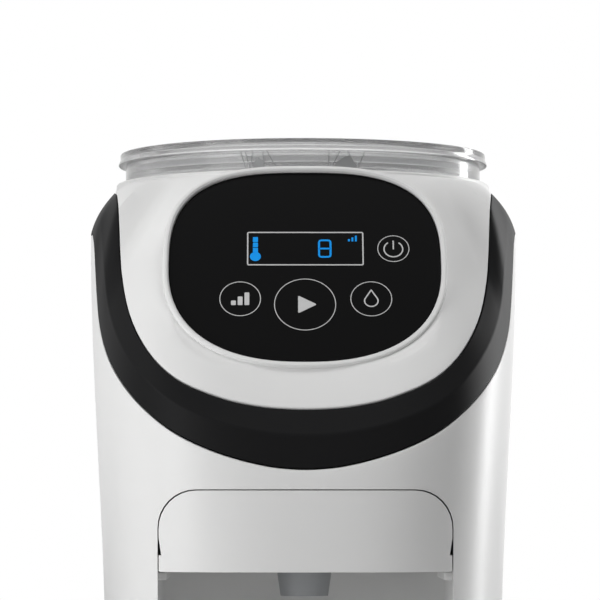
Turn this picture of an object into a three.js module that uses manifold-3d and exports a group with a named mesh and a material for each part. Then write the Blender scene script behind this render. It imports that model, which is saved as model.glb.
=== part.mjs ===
// A counter-top baby formula maker, modelled in millimetres with +Z up.
// The front looks along -Y. The origin lies on the axis of the powder container,
// at the level of the surface that the machine stands on.

import * as THREE from 'three';
import { mergeVertices } from 'three/addons/utils/BufferGeometryUtils.js';
import Module from 'manifold-3d';

const wasm = await Module();
wasm.setup();

// Counts and tolerances of the mesh
const LOOP_STEPS = 60;
const WIDE_STEPS = 48;
const ROUND_STEPS = 28;
const SMALL_STEPS = 12;
const CORNER_STEPS = 4;
const MERGE_TOLERANCE = 1e-4;
const RIGHT_ANGLE = Math.PI / 2;
const FULL_TURN = 2 * Math.PI;

// General clearances and the overrun of every cut
const FIT = 0.3;
const SLIDE_FIT = 0.4;
const SCREW_FIT = 0.4;
const OVERRUN = 5;

// Drive under the powder container, in plan
const GEAR_MODULE = 1.5;
const GEAR_TEETH = 36;
const PINION_TEETH = 10;
const TOOTH_SHARES = {
  addendum: 0.833, dedendum: 1.167, rootHalf: 0.767, pitchHalf: 0.613, tipHalf: 0.28,
};
const SHAFT_RADIUS = 5;
const STUB_RADIUS = 3;
const COUPLING_SIDE = 8;
const COUPLING_FIT = 0.6;
const BUSHING_WALL = 1.4;
const GEARBOX_SIDE_ROOM = 5.35;
const GEARBOX_FRONT_ROOM = 3.35;
const GEARBOX_REAR_ROOM = 4.35;
const GEARBOX_WALL = 2.4;
const GEARBOX_CORNER = 10;
const MOTOR_RADIUS = 17;
const MOTOR_CAP_RADIUS = 14;
const MOTOR_SHAFT_RADIUS = 2;
const GEAR_RADIUS = (GEAR_MODULE * GEAR_TEETH) / 2;
const PINION_RADIUS = (GEAR_MODULE * PINION_TEETH) / 2;
const MOTOR_Y = GEAR_RADIUS + PINION_RADIUS;
const TOOTH_ADDENDUM = GEAR_MODULE * TOOTH_SHARES.addendum;
const GEARBOX_HALF_WIDTH = GEAR_RADIUS + TOOTH_ADDENDUM + GEARBOX_SIDE_ROOM + GEARBOX_WALL;
const GEARBOX_FRONT_Y = -GEAR_RADIUS - TOOTH_ADDENDUM - GEARBOX_FRONT_ROOM - GEARBOX_WALL;
const GEARBOX_REAR_Y = MOTOR_Y + PINION_RADIUS + TOOTH_ADDENDUM + GEARBOX_REAR_ROOM + GEARBOX_WALL;

// Drop hole and chute for the powder, in front of the gearbox
const CHUTE_HALF_WIDTH = 10;
const CHUTE_WALL = 2;
const CHUTE_FLANGE = 3.5;
const CHUTE_FLANGE_THICKNESS = 2;
const CHUTE_ROOM = 6.5;
const DROP_HALF_WIDTH = CHUTE_HALF_WIDTH - CHUTE_WALL;
const DROP_Y = GEARBOX_FRONT_Y - CHUTE_ROOM - CHUTE_FLANGE - CHUTE_HALF_WIDTH;

// Powder container and what turns inside, in plan
const POCKET_COUNT = 10;
const POCKET_LENGTH = 16;
const POCKET_GAP_SHARE = 0.22;
const POCKET_INNER_RADIUS = -DROP_Y - POCKET_LENGTH / 2;
const POCKET_OUTER_RADIUS = -DROP_Y + POCKET_LENGTH / 2;
const WHEEL_RIM = 4.5;
const WHEEL_GAP = 2.4;
const WHEEL_RADIUS = POCKET_OUTER_RADIUS + WHEEL_RIM;
const CONTAINER_WALL = 2;
const CONTAINER_BORE_RADIUS = WHEEL_RADIUS + WHEEL_GAP;
const CONTAINER_RADIUS = CONTAINER_BORE_RADIUS + CONTAINER_WALL;
const HUB_HOLE_ROOM = 4;
const HUB_HOLE_RADIUS = SHAFT_RADIUS + HUB_HOLE_ROOM;
const SCRAPER_SIDE_LAP = 9;
const SCRAPER_END_LAP = 5.1;
const SCRAPER_HALF_WIDTH = DROP_HALF_WIDTH + SCRAPER_SIDE_LAP;
const SCRAPER_LENGTH = CONTAINER_RADIUS - POCKET_INNER_RADIUS + SCRAPER_END_LAP;
const AGITATOR_HUB_RADIUS = 10;
const FIN_COUNT = 3;
const FIN_THICKNESS = 2.6;
const FIN_POST_WIDTH = 12;
const FIN_GAP = 8.9;
const FIN_REACH = CONTAINER_BORE_RADIUS - FIN_GAP;

// Lid of the powder container, in plan
const LID_OVERHANG = 2.15;
const LID_FLARE = 0.7;
const LID_EDGE_ROUND = 0.4;
const LID_RIM_WIDTH = 13.05;
const LID_DISH_SLOPE = 5;
const LID_PLUG_GAP = 0.9;
const LID_PLUG_WALL = 3;
const LID_HANDLE_WIDTH = 12;
const LID_HANDLE_END_GAP = 3;
const SEAL_GROOVE_DEPTH = 1.2;
const LID_RADIUS = CONTAINER_RADIUS + LID_OVERHANG;
const LID_DISH_RIM_RADIUS = LID_RADIUS - LID_RIM_WIDTH;
const LID_DISH_RADIUS = LID_DISH_RIM_RADIUS - LID_DISH_SLOPE;
const LID_HANDLE_REACH = LID_DISH_RADIUS - LID_HANDLE_END_GAP;

// Well that holds the container, in plan
const WELL_GAP = 1.3;
const WELL_WALL = 2;
const WELL_POST_RADIUS = 4;
const WELL_POST_ROOM = 8;
const WELL_BORE_RADIUS = CONTAINER_RADIUS + WELL_GAP;
const WELL_RADIUS = WELL_BORE_RADIUS + WELL_WALL;
const WELL_POST_X = GEARBOX_HALF_WIDTH + WELL_POST_ROOM + WELL_POST_RADIUS;
const WELL_POST_Y = -GEARBOX_FRONT_Y;

// Bottle bay with its drawer, funnel, tray and stand, in plan
const FUNNEL_AHEAD = 18;
const FUNNEL_MOUTH_RADIUS = 33;
const FUNNEL_WALL = 2;
const SPOUT_RADIUS = 11;
const SPOUT_TIP_RADIUS = 9;
const FUNNEL_SEAT_WIDTH = 3;
const FUNNEL_SEAT_GAP = 0.6;
const NOZZLE_AHEAD = 20;
const NOZZLE_RADIUS = 5;
const NOZZLE_BORE_RADIUS = 2.2;
const NOZZLE_FLANGE_RADIUS = 8;
const STAND_RADIUS = 34;
const STAND_ARM_HALF_WIDTH = 7.8;
const STAND_GUIDE_WIDTH = 3;
const STAND_GUIDE_DEPTH = 6;
const BAY_CORNER = 30;
const BAY_WALL = 2.4;
const BAY_BACK_GAP = 12;
const TRAY_WALL = 2.4;
const GRILLE_SLOT_COUNT = 11;
const GRILLE_SLOT_WIDTH = 3.4;
const GRILLE_SLOT_PITCH = 7.4;
const GRILLE_SLOT_MARGIN = 12;
const BOTTLE_Y = DROP_Y - FUNNEL_AHEAD;
const NOZZLE_Y = BOTTLE_Y - NOZZLE_AHEAD;
const BAY_BACK_Y = BOTTLE_Y + STAND_RADIUS + BAY_BACK_GAP;

// Outline of the head and body in plan
const DECK_HOLE_GAP = 0.5;
const DECK_RIM_WIDTH = 3.2;
const COLLAR_SIDE_WIDTH = 9.7;
const COLLAR_REAR_WIDTH = 10;
const SURROUND_REAR_EXTRA = 2.4;
const SURROUND_FRONT_SETBACK = 8.5;
const FRONT_ROOM = 45.5;
const DECK_HOLE_RADIUS = CONTAINER_RADIUS + DECK_HOLE_GAP;
const SURROUND_HALF_WIDTH = DECK_HOLE_RADIUS + DECK_RIM_WIDTH;
const SURROUND_REAR = SURROUND_HALF_WIDTH + SURROUND_REAR_EXTRA;
const BODY_HALF_WIDTH = SURROUND_HALF_WIDTH + COLLAR_SIDE_WIDTH;
const HEAD_REAR = SURROUND_REAR + COLLAR_REAR_WIDTH;
const BODY_FRONT = FRONT_ROOM - NOZZLE_Y;
const SURROUND_FRONT = BODY_FRONT - SURROUND_FRONT_SETBACK;
const BODY_FRONT_POWER = 3.6;
const BODY_REAR_POWER = 4.5;
const HEAD_REAR_POWER = 6;
const SURROUND_FRONT_POWER = 5;
const SURROUND_REAR_POWER = 6;
const TAPER_SHARE = 0.09;
const TAPER_EASE_SHARE = 0.15;
const WAIST_INSET = 6.3;
const WAIST_REAR_INSET = 3;
const HEAD_WAIST_REAR_INSET = 1;
const BASE_INSET = 3.3;
const SHELL_WALL = 2.4;

// Water tank behind the head, in plan
const TANK_HEAD_GAP = 1.8;
const TANK_INSET = 1.2;
const TANK_WALL = 2.2;
const TANK_STEPS = 20;
const TANK_CORNER_TURN = 0.06;
const TANK_CHAMFER_SHARE = 0.06;
const SPIGOT_SETBACK = 21.2;
const SPIGOT_RADIUS = 8;
const SPIGOT_BORE_RADIUS = 5;
const SPIGOT_SEAT_RADIUS = 3;
const VALVE_RADIUS = 4.4;
const VALVE_STEM_RADIUS = 1.5;
const DOCK_RADIUS = 13.6;
const DOCK_BORE_RADIUS = 10.2;
const DOCK_FLANGE_RADIUS = 18;
const DOCK_REAR_ROOM = 9.5;
const DOCK_BARB_RADIUS = 4;
const DOCK_BARB_BORE_RADIUS = 2.2;
const TANK_FRONT_Y = HEAD_REAR + TANK_HEAD_GAP;
const SPIGOT_Y = TANK_FRONT_Y + SPIGOT_SETBACK;
const BODY_REAR = SPIGOT_Y + DOCK_FLANGE_RADIUS + DOCK_REAR_ROOM;
const PIN_SETBACK = 10.5;
const PIN_RADIUS = 1.5;
const PIN_HALF_LENGTH = 27;
const BARREL_RADIUS = 3.5;
const BARREL_HALF_LENGTH = 19.4;
const EAR_WIDTH = 7;
const EAR_GAP = 0.5;
const BRIDGE_LAP = 1.5;
const LID_GRIP_HALF_WIDTH = 15;
const LID_GRIP_DEPTH = 4;
const LID_GRIP_INSET = 3;
const PIN_Y = BODY_REAR - PIN_SETBACK;
const TANK_BRIDGE_Y = PIN_Y - BARREL_RADIUS - BRIDGE_LAP;

// Screws and feet of the base, in plan
const SCREW_HEAD_RADIUS = 4;
const SCREW_SHANK_RADIUS = 1.6;
const BOSS_RADIUS = 5;
const SCREW_FRONT_SIDE_ROOM = 20.3;
const SCREW_REAR_SIDE_ROOM = 21.3;
const SCREW_FRONT_SETBACK = 77.5;
const SCREW_REAR_SETBACK = 35.5;
const SCREW_BAY_GAP = 2.6;
const SCREW_FRONT_X = BODY_HALF_WIDTH - SCREW_FRONT_SIDE_ROOM;
const SCREW_REAR_X = BODY_HALF_WIDTH - SCREW_REAR_SIDE_ROOM;
const SCREW_FRONT_Y = SCREW_FRONT_SETBACK - BODY_FRONT;
const SCREW_REAR_Y = BODY_REAR - SCREW_REAR_SETBACK;
const SCREW_SPOTS = {
  base_screw_1: { x: -SCREW_FRONT_X, y: SCREW_FRONT_Y },
  base_screw_2: { x: SCREW_FRONT_X, y: SCREW_FRONT_Y },
  base_screw_3: { x: -SCREW_REAR_X, y: SCREW_REAR_Y },
  base_screw_4: { x: SCREW_REAR_X, y: SCREW_REAR_Y },
};
const BAY_HALF_WIDTH = SCREW_FRONT_X - BOSS_RADIUS - SCREW_BAY_GAP - BAY_WALL;
const FOOT_RADIUS = 9;
const FOOT_SIDE_ROOM = 38.3;
const FOOT_FRONT_SETBACK = 39.5;
const FOOT_REAR_SETBACK = 25.5;
const FOOT_X = BODY_HALF_WIDTH - FOOT_SIDE_ROOM;
const FOOT_FRONT_Y = FOOT_FRONT_SETBACK - BODY_FRONT;
const FOOT_REAR_Y = BODY_REAR - FOOT_REAR_SETBACK;
const FOOT_SPOTS = {
  foot_front_left: { x: -FOOT_X, y: FOOT_FRONT_Y },
  foot_front_right: { x: FOOT_X, y: FOOT_FRONT_Y },
  foot_rear_left: { x: -FOOT_X, y: FOOT_REAR_Y },
  foot_rear_right: { x: FOOT_X, y: FOOT_REAR_Y },
};

// Rails of the drawer and seam of the shell, from front to back
const RAIL_FRONT_SETBACK = 25.5;
const RAIL_CORNER_GAP = 2;
const RAIL_WIDTH = 3;
const DRAWER_FRONT_DEPTH = 14.4;
const SEAM_BAY_GAP = 71;
const RAIL_FRONT_Y = RAIL_FRONT_SETBACK - BODY_FRONT;
const RAIL_REAR_Y = BAY_BACK_Y - BAY_CORNER - RAIL_CORNER_GAP;
const SEAM_Y = BAY_BACK_Y + SEAM_BAY_GAP;

// Electrics and water parts in the base, in plan
const INLET_HALF_WIDTH = 12;
const INLET_DEPTH = 22;
const INLET_FACE_SETBACK = 1.3;
const INLET_FLANGE = 3;
const INLET_FLANGE_THICKNESS = 2.6;
const INLET_FLANGE_BACK = 5.4;
const SOCKET_HALF_WIDTH = 9;
const SOCKET_DEPTH = 14;
const SOCKET_PIN_RADIUS = 1.2;
const SOCKET_PIN_SPACING = 4.6;
const SOCKET_PIN_LENGTH = 10;
const INLET_FACE_Y = BODY_REAR - INLET_FACE_SETBACK;
const PUMP_SIDE_ROOM = 26.3;
const PUMP_RADIUS = 13;
const PUMP_LENGTH = 38;
const PUMP_BOSS_GAP = 3;
const HEATER_SIDE_ROOM = 26.3;
const HEATER_RADIUS = 12;
const HEATER_LENGTH = 82;
const HEATER_GAP = 23.6;
const SADDLE_HALF_WIDTH = 9;
const SADDLE_LENGTH = 8;
const PORT_RADIUS = 3.4;
const PORT_INSET = 7;
const PUMP_X = BODY_HALF_WIDTH - PUMP_SIDE_ROOM;
const PUMP_REAR_Y = SCREW_REAR_Y - BOSS_RADIUS - PUMP_BOSS_GAP;
const PUMP_FRONT_Y = PUMP_REAR_Y - PUMP_LENGTH;
const HEATER_X = HEATER_SIDE_ROOM - BODY_HALF_WIDTH;
const HEATER_FRONT_Y = BAY_BACK_Y + BAY_WALL + HEATER_GAP;
const HEATER_REAR_Y = HEATER_FRONT_Y + HEATER_LENGTH;
const SUPPLY_SIDE_GAP = 8;
const SUPPLY_INLET_GAP = 10.2;
const SUPPLY_LENGTH = 72;
const SUPPLY_LEG_SIDE = 6;
const SUPPLY_HALF_WIDTH = PUMP_X - PUMP_RADIUS - SUPPLY_SIDE_GAP;
const SUPPLY_REAR_Y = INLET_FACE_Y - INLET_DEPTH - SUPPLY_INLET_GAP;
const SUPPLY_FRONT_Y = SUPPLY_REAR_Y - SUPPLY_LENGTH;
const MAIN_BOARD_SETBACK = 11;
const MAIN_BOARD_HALF_WIDTH = 44;
const MAIN_BOARD_Y = HEAD_REAR - MAIN_BOARD_SETBACK;
const PLATE_REAR_SETBACK = 7;
const PLATE_REAR_Y = HEAD_REAR - PLATE_REAR_SETBACK;
const HOSE_RADIUS = 3.6;
const HOSE_SIDES = 8;
const HOSE_STEPS = 26;
const HOSE_HOLE_SIDE_ROOM = 22.3;
const HOSE_HOLE_GAP = 9.6;
const HOSE_HOLE_X = HOSE_HOLE_SIDE_ROOM - BODY_HALF_WIDTH;
const HOSE_HOLE_Y = BAY_BACK_Y + BAY_WALL + HOSE_HOLE_GAP;
const HOSE_BEND_SHARES = [{ across: 0.833, along: 0.6 }, { across: 0.5, along: 0.95 }];

// Levels of the base, the tray and the stand, from the ground up
const FOOT_HEIGHT = 3;
const FOOT_RECESS = 2;
const BASE_THICKNESS = 4;
const BASE_EDGE_GAP = 0.4;
const BASE_TOP_Z = FOOT_HEIGHT + BASE_THICKNESS;
const SCREW_HEAD_HEIGHT = 2;
const SCREW_LENGTH = 16;
const BOSS_HEIGHT = 20;
const BAY_FLOOR = 2.1;
const TRAY_HEIGHT = 12;
const TRAY_FLOOR = 2;
const GRILLE_THICKNESS = 2;
const STAND_THICKNESS = 4.4;
const STAND_ARM_HEIGHT = 20;
const BAY_FLOOR_TOP_Z = BASE_TOP_Z + FIT + BAY_FLOOR;
const OPENING_BOTTOM_Z = BAY_FLOOR_TOP_Z + FIT;
const TRAY_BOTTOM_Z = OPENING_BOTTOM_Z + FIT;
const TRAY_TOP_Z = TRAY_BOTTOM_Z + TRAY_HEIGHT;
const GRILLE_Z = TRAY_TOP_Z + FIT;
const STAND_Z = GRILLE_Z + GRILLE_THICKNESS + FIT;

// Levels of the water and power parts
const PUMP_GROUND_GAP = 2;
const HEATER_GROUND_GAP = 2.5;
const PORT_RISE = 8.7;
const PUMP_LIFT = PUMP_RADIUS + PUMP_GROUND_GAP;
const HEATER_LIFT = HEATER_RADIUS + HEATER_GROUND_GAP;
const PORT_TOP_Z = BASE_TOP_Z + FIT + PUMP_LIFT + PUMP_RADIUS + PORT_RISE;
const SUPPLY_LEG_HEIGHT = 6;
const SUPPLY_PART_HEIGHT = 28;
const SUPPLY_PART_SINK = 0.6;
const SUPPLY_PART_SHARES = [
  { across: -0.54, along: 0.278, halfAcross: 0.351, halfAlong: 0.208, rise: 1 },
  { across: 0.378, along: 0.25, halfAcross: 0.216, halfAlong: 0.139, rise: 0.786 },
  { across: 0.486, along: 0.694, halfAcross: 0.378, halfAlong: 0.167, rise: 0.571 },
  { across: -0.486, along: 0.778, halfAcross: 0.27, halfAlong: 0.111, rise: 0.643 },
];
const INLET_LIFT = 19.4;
const INLET_HEIGHT = 19;
const SOCKET_HEIGHT = 12;
const INLET_Z = BASE_TOP_Z + INLET_LIFT;
const VENT_COUNT = 6;
const VENT_LENGTH = 44;
const VENT_WIDTH = 2.6;
const VENT_PITCH = 6;
const VENT_INLET_GAP = 16.6;
const VENT_TOP_GAP = 15.4;
const VENT_Z = INLET_Z + INLET_HEIGHT + VENT_INLET_GAP;
const LEDGE_Z = VENT_Z + (VENT_COUNT - 1) * VENT_PITCH + VENT_WIDTH + VENT_TOP_GAP;
const LEDGE_THICKNESS = 3;
const WAIST_OVER_LEDGE = 10;
const WAIST_Z = LEDGE_Z + WAIST_OVER_LEDGE;
const WAIST_LEVELS = 3;
const HEAD_LEVELS = 5;

// Levels of the bay, the drawer and the funnel
const BAY_HEIGHT = 190;
const PLATE_Z = BASE_TOP_Z + BAY_HEIGHT;
const PLATE_THICKNESS = 3;
const PLATE_TOP_Z = PLATE_Z + PLATE_THICKNESS;
const OPENING_TOP_GAP = 1;
const OPENING_TOP_ROUND = 14;
const OPENING_BOTTOM_ROUND = 4;
const OPENING_TOP_Z = PLATE_Z - OPENING_TOP_GAP;
const DRAWER_HEIGHT = 30;
const DRAWER_FLOOR = 2.5;
const DRAWER_BOTTOM_Z = OPENING_TOP_Z - DRAWER_HEIGHT;
const RAIL_HEIGHT = 3;
const NOZZLE_DROP = 6;
const NOZZLE_RISE = 6;
const NOZZLE_FLANGE_THICKNESS = 2;
const FUNNEL_GAP = 1;
const FUNNEL_RIM_HEIGHT = 3;
const FUNNEL_SEAT_HEIGHT = 3.5;
const SPOUT_SHOULDER = 1.5;
const SPOUT_DROP = 10;
const FUNNEL_TOP_Z = PLATE_Z - NOZZLE_DROP - FUNNEL_GAP;
const SPOUT_TOP_Z = DRAWER_BOTTOM_Z + DRAWER_FLOOR + SPOUT_SHOULDER;
const SPOUT_BOTTOM_Z = DRAWER_BOTTOM_Z - SPOUT_DROP;
const STAND_GUIDE_GAP = 16;
const STAND_GUIDE_TOP_Z = DRAWER_BOTTOM_Z - STAND_GUIDE_GAP;
const BOARD_THICKNESS = 1.6;
const MAIN_BOARD_LIFT = 16;
const MAIN_BOARD_TOP_GAP = 9;
const MAIN_BOARD_Z = LEDGE_Z + MAIN_BOARD_LIFT;
const MAIN_BOARD_HEIGHT = PLATE_Z - MAIN_BOARD_TOP_GAP - MAIN_BOARD_Z;
const MAIN_CHIP_DEPTH = 9;
const MAIN_CHIP_SHARES = [
  { across: -0.455, up: 0.323, halfAcross: 0.205, halfUp: 0.145, depth: 0.333 },
  { across: 0.364, up: 0.613, halfAcross: 0.273, halfUp: 0.097, depth: 1 },
  { across: 0.409, up: 0.226, halfAcross: 0.182, halfUp: 0.081, depth: 0.667 },
];

// Levels of the drive, the powder container and its lid
const GEAR_LIFT = 7;
const GEAR_THICKNESS = 8;
const PINION_EXTRA = 0.5;
const GEARBOX_TOP_ROOM = 11.3;
const MOTOR_LENGTH = 46;
const MOTOR_CAP_LENGTH = 4;
const MOTOR_SHAFT_DEPTH = 10;
const COUPLING_LENGTH = 9;
const GEAR_Z = PLATE_TOP_Z + GEAR_LIFT;
const GEARBOX_TOP_Z = GEAR_Z + GEAR_THICKNESS + GEARBOX_TOP_ROOM + GEARBOX_WALL;
const WELL_CLEARANCE = 4.3;
const WELL_FLOOR = 3;
const WELL_DEPTH = 70;
const WELL_FLOOR_Z = GEARBOX_TOP_Z + WELL_CLEARANCE + WELL_FLOOR;
const WELL_TOP_Z = WELL_FLOOR_Z + WELL_DEPTH;
const DECK_OVER_WELL = 12;
const DECK_Z = WELL_TOP_Z + DECK_OVER_WELL;
const CONTAINER_FLOOR = 3;
const CONTAINER_PROUD = 7.1;
const CONTAINER_BOTTOM_Z = WELL_FLOOR_Z + FIT;
const CONTAINER_FLOOR_TOP_Z = CONTAINER_BOTTOM_Z + CONTAINER_FLOOR;
const CONTAINER_TOP_Z = DECK_Z + CONTAINER_PROUD;
const WHEEL_THICKNESS = 8;
const SCRAPER_THICKNESS = 2;
const AGITATOR_HUB_HEIGHT = 14;
const FIN_FOOT_LIFT = 5;
const FIN_BAR_HEIGHT = 8;
const FIN_POST_HEIGHT = 44;
const WHEEL_Z = CONTAINER_FLOOR_TOP_Z + SLIDE_FIT;
const WHEEL_TOP_Z = WHEEL_Z + WHEEL_THICKNESS;
const LID_RIM_HEIGHT = 4.6;
const LID_FLARE_HEIGHT = 2.2;
const LID_SKIN = 2.2;
const LID_DISH_DEPTH = 6.5;
const LID_PLUG_DEPTH = 6;
const LID_HANDLE_DROP = 0.5;
const SEAL_HEIGHT = 2.4;
const LID_TOP_Z = CONTAINER_TOP_Z + FIT + LID_RIM_HEIGHT;

// Levels of the water tank
const TANK_TOP_DROP = 12;
const TANK_FLOOR = 3;
const TANK_BRIDGE_THICKNESS = 3;
const TANK_LID_THICKNESS = 3;
const LID_GRIP_HEIGHT = 3.5;
const PIN_LIFT = 5.8;
const SPIGOT_LENGTH = 10;
const SPIGOT_SEAT_HEIGHT = 2.4;
const VALVE_HEIGHT = 2.4;
const VALVE_STEM_LENGTH = 12;
const DOCK_DEPTH = 18;
const DOCK_FLOOR = 2.5;
const DOCK_FLANGE_THICKNESS = 3;
const DOCK_BARB_LENGTH = 8;
const DOCK_SEAL_HEIGHT = 3;
const DOCK_SEAL_DROP = 5;
const TANK_BOTTOM_Z = LEDGE_Z + FIT;
const TANK_TOP_Z = DECK_Z - TANK_TOP_DROP;
const TANK_SEAT_Z = TANK_TOP_Z - TANK_BRIDGE_THICKNESS;
const TANK_LID_Z = TANK_TOP_Z + FIT;
const PIN_Z = TANK_TOP_Z + PIN_LIFT;

// Edges of the dark collar: the inner one meets the surround, the outer one the shell
const COLLAR_BROW = 7.2;
const COLLAR_FRONT_HEIGHT = 22.2;
const COLLAR_SIDE_TOP_DROP = 3;
const COLLAR_SIDE_HEIGHT = 19;
const COLLAR_FRONT_BOTTOM_Z = OPENING_TOP_Z + COLLAR_BROW;
const COLLAR_FRONT_TOP_Z = COLLAR_FRONT_BOTTOM_Z + COLLAR_FRONT_HEIGHT;
const COLLAR_SIDE_TOP_Z = DECK_Z - COLLAR_SIDE_TOP_DROP;
const COLLAR_SIDE_BOTTOM_Z = COLLAR_SIDE_TOP_Z - COLLAR_SIDE_HEIGHT;
const INNER_RISE_SHARES = [
  [0, 0], [0.058, 0.0047], [0.131, 0.028], [0.201, 0.077], [0.244, 0.1215], [0.286, 0.188],
  [0.347, 0.318], [0.393, 0.429], [0.431, 0.538], [0.458, 0.628], [0.48, 0.768], [0.507, 0.88],
  [0.568, 0.941], [0.687, 0.962], [1, 1],
];
const OUTER_RISE_SHARES = [
  [0, 0], [0.05, 0.0069], [0.098, 0.026], [0.144, 0.0541], [0.19, 0.0915], [0.242, 0.1466],
  [0.302, 0.232], [0.387, 0.368], [0.442, 0.46], [0.511, 0.603], [0.55, 0.751], [0.6, 0.935],
  [0.68, 0.99], [0.83, 1], [1, 1],
];
const RIDGE_FRONT_SHARES = { out: 0.94, down: 0.437 };
const RIDGE_SIDE_SHARES = { out: 0.64, down: 0.48 };
const RIDGE_SHARP_SHARES = { full: 0.28, none: 0.7 };
const COLLAR_STEPS = 4;
const COLLAR_WALL = 2.3;
const COLLAR_TOP_LIP_DROP = 2;
const COLLAR_BOTTOM_LIP_DROP = 0.6;
const COLLAR_GAP = 0.4;

// White surround of the head, with its level deck round the powder container
const DECK_EDGE_ROUND = 1.2;
const SURROUND_WALL = 2.2;
const SURROUND_DECK_THICKNESS = 2;
const FACE_STEPS = 4;
const FACE_BEND_SHARE = 0.75;
const FACE_RUN = SURROUND_FRONT - SURROUND_HALF_WIDTH;
const FACE_RISE = DECK_Z - COLLAR_FRONT_TOP_Z;
const FACE_TANGENT = FACE_RUN / FACE_RISE;
const FACE_TILT = Math.atan(FACE_TANGENT);
const FACE_LENGTH = Math.hypot(FACE_RUN, FACE_RISE);

// Control panel on the slanted face, measured along the slope
const PANEL_SIDE_MARGIN = 23.9;
const PANEL_TOP_MARGIN = 1.86;
const PANEL_BOTTOM_MARGIN = 19.74;
const PANEL_TOP_POWER = 2.9;
const PANEL_BOTTOM_POWER = 2.4;
const PANEL_THICKNESS = 2;
const PANEL_OUTLINE_STEPS = 40;
const PANEL_HALF_WIDTH = SURROUND_HALF_WIDTH - PANEL_SIDE_MARGIN;
const PANEL_HALF_HEIGHT = (FACE_LENGTH - PANEL_TOP_MARGIN - PANEL_BOTTOM_MARGIN) / 2;
const BEZEL_SIDE = 2.4;
const BEZEL_TOP = 1.3;
const BEZEL_PROUD = 0.9;
const BEZEL_DEPTH = 9;
const BEZEL_BACK_INSET = 3;
const SEAT_THICKNESS = 2.5;
const WINDOW_WIDTH = 44;
const WINDOW_HEIGHT = 14.3;
const WINDOW_UP_SHARE = 0.1865;
const WINDOW_UP = PANEL_HALF_HEIGHT * WINDOW_UP_SHARE;
const BOARD_SIDE_MARGIN = 8.7;
const BOARD_TOP_SHARE = 0.5;
const BOARD_BOTTOM_SHARE = 0.7925;
const BOARD_CORNER_SHARE = 0.28;
const BOARD_HALF_WIDTH = PANEL_HALF_WIDTH - BOARD_SIDE_MARGIN;
const BOARD_TOP_UP = PANEL_HALF_HEIGHT * BOARD_TOP_SHARE;
const BOARD_BOTTOM_UP = -PANEL_HALF_HEIGHT * BOARD_BOTTOM_SHARE;
const BOARD_CORNER = 2 * BOARD_HALF_WIDTH * BOARD_CORNER_SHARE;
const BOARD_STANDOFF = 2.4;
const STANDOFF_RADIUS = 3;
const STANDOFF_INSET = 5;
const TOUCH_SPRING_RADIUS = 4;
const TOUCH_KEY_SHARES = {
  start: { across: 0, up: -0.401 },
  powder: { across: -0.475, up: -0.343 },
  volume: { across: 0.485, up: -0.343 },
  power: { across: 0.655, up: 0.184 },
};

// Colours and finishes
const FINISHES = {
  white: { color: 0xeeeeec, roughness: 0.28, metalness: 0 },
  innerWhite: { color: 0xdcdcda, roughness: 0.5, metalness: 0 },
  black: { color: 0x17171a, roughness: 0.18, metalness: 0 },
  glossBlack: { color: 0x1a1a1c, roughness: 0.08, metalness: 0 },
  smoke: { color: 0xb4b6b8, roughness: 0.2, metalness: 0 },
  clear: { color: 0xc9d4da, roughness: 0.12, metalness: 0 },
  grey: { color: 0x8d9093, roughness: 0.45, metalness: 0 },
  darkGrey: { color: 0x3a3c3f, roughness: 0.5, metalness: 0 },
  rubber: { color: 0x222222, roughness: 0.85, metalness: 0 },
  silicone: { color: 0xdadfe2, roughness: 0.6, metalness: 0 },
  steel: { color: 0xb9bcc0, roughness: 0.3, metalness: 0.9 },
  brass: { color: 0xc2a25a, roughness: 0.35, metalness: 0.9 },
  board: { color: 0x1e6b3c, roughness: 0.55, metalness: 0.1 },
  glass: { color: 0x2a2f36, roughness: 0.1, metalness: 0 },
};

// Plans of the skin at its main levels
const COLLAR_PLAN = {
  halfWidth: BODY_HALF_WIDTH, front: BODY_FRONT, rear: HEAD_REAR,
  frontPower: BODY_FRONT_POWER, rearPower: HEAD_REAR_POWER,
};
const SURROUND_PLAN = {
  halfWidth: SURROUND_HALF_WIDTH, front: SURROUND_FRONT, rear: SURROUND_REAR,
  frontPower: SURROUND_FRONT_POWER, rearPower: SURROUND_REAR_POWER,
};
const WAIST_PLAN = {
  ...COLLAR_PLAN,
  halfWidth: BODY_HALF_WIDTH - WAIST_INSET,
  front: BODY_FRONT - WAIST_INSET,
  rear: HEAD_REAR - HEAD_WAIST_REAR_INSET,
};
const BASE_PLAN = {
  ...WAIST_PLAN,
  halfWidth: BODY_HALF_WIDTH - BASE_INSET,
  front: BODY_FRONT - BASE_INSET,
};
const TUB_WAIST_PLAN = { ...WAIST_PLAN, rear: BODY_REAR - WAIST_REAR_INSET, rearPower: BODY_REAR_POWER };
const TUB_BASE_PLAN = { ...BASE_PLAN, rear: BODY_REAR, rearPower: BODY_REAR_POWER };

// Small mathematics

function smooth(share) {
  const held = Math.min(1, Math.max(0, share));
  return held * held * (3 - 2 * held);
}

function mix(from, to, share) {
  return from + (to - from) * share;
}

// Value of a table of shares on a smooth curve that never overshoots its rows
function tableValue(rows, share) {
  const last = rows.length - 1;
  const held = Math.min(rows[last][0], Math.max(rows[0][0], share));
  let row = 0;
  while (row < last - 1 && held > rows[row + 1][0]) row += 1;
  const slopes = rows.slice(1).map((next, index) => (next[1] - rows[index][1]) / (next[0] - rows[index][0]));
  const tangent = (index) => {
    if (index === 0 || index === last) return 0;
    const before = slopes[index - 1];
    const after = slopes[index];
    return before * after <= 0 ? 0 : (2 * before * after) / (before + after);
  };
  const span = rows[row + 1][0] - rows[row][0];
  const t = (held - rows[row][0]) / span;
  const rise = t * t * (3 - 2 * t);
  return mix(rows[row][1], rows[row + 1][1], rise)
    + span * (t * (1 - t) * (1 - t) * tangent(row) - t * t * (1 - t) * tangent(row + 1));
}

function insetPlan(plan, inset) {
  return {
    ...plan, halfWidth: plan.halfWidth - inset, front: plan.front - inset, rear: plan.rear - inset,
  };
}

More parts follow.
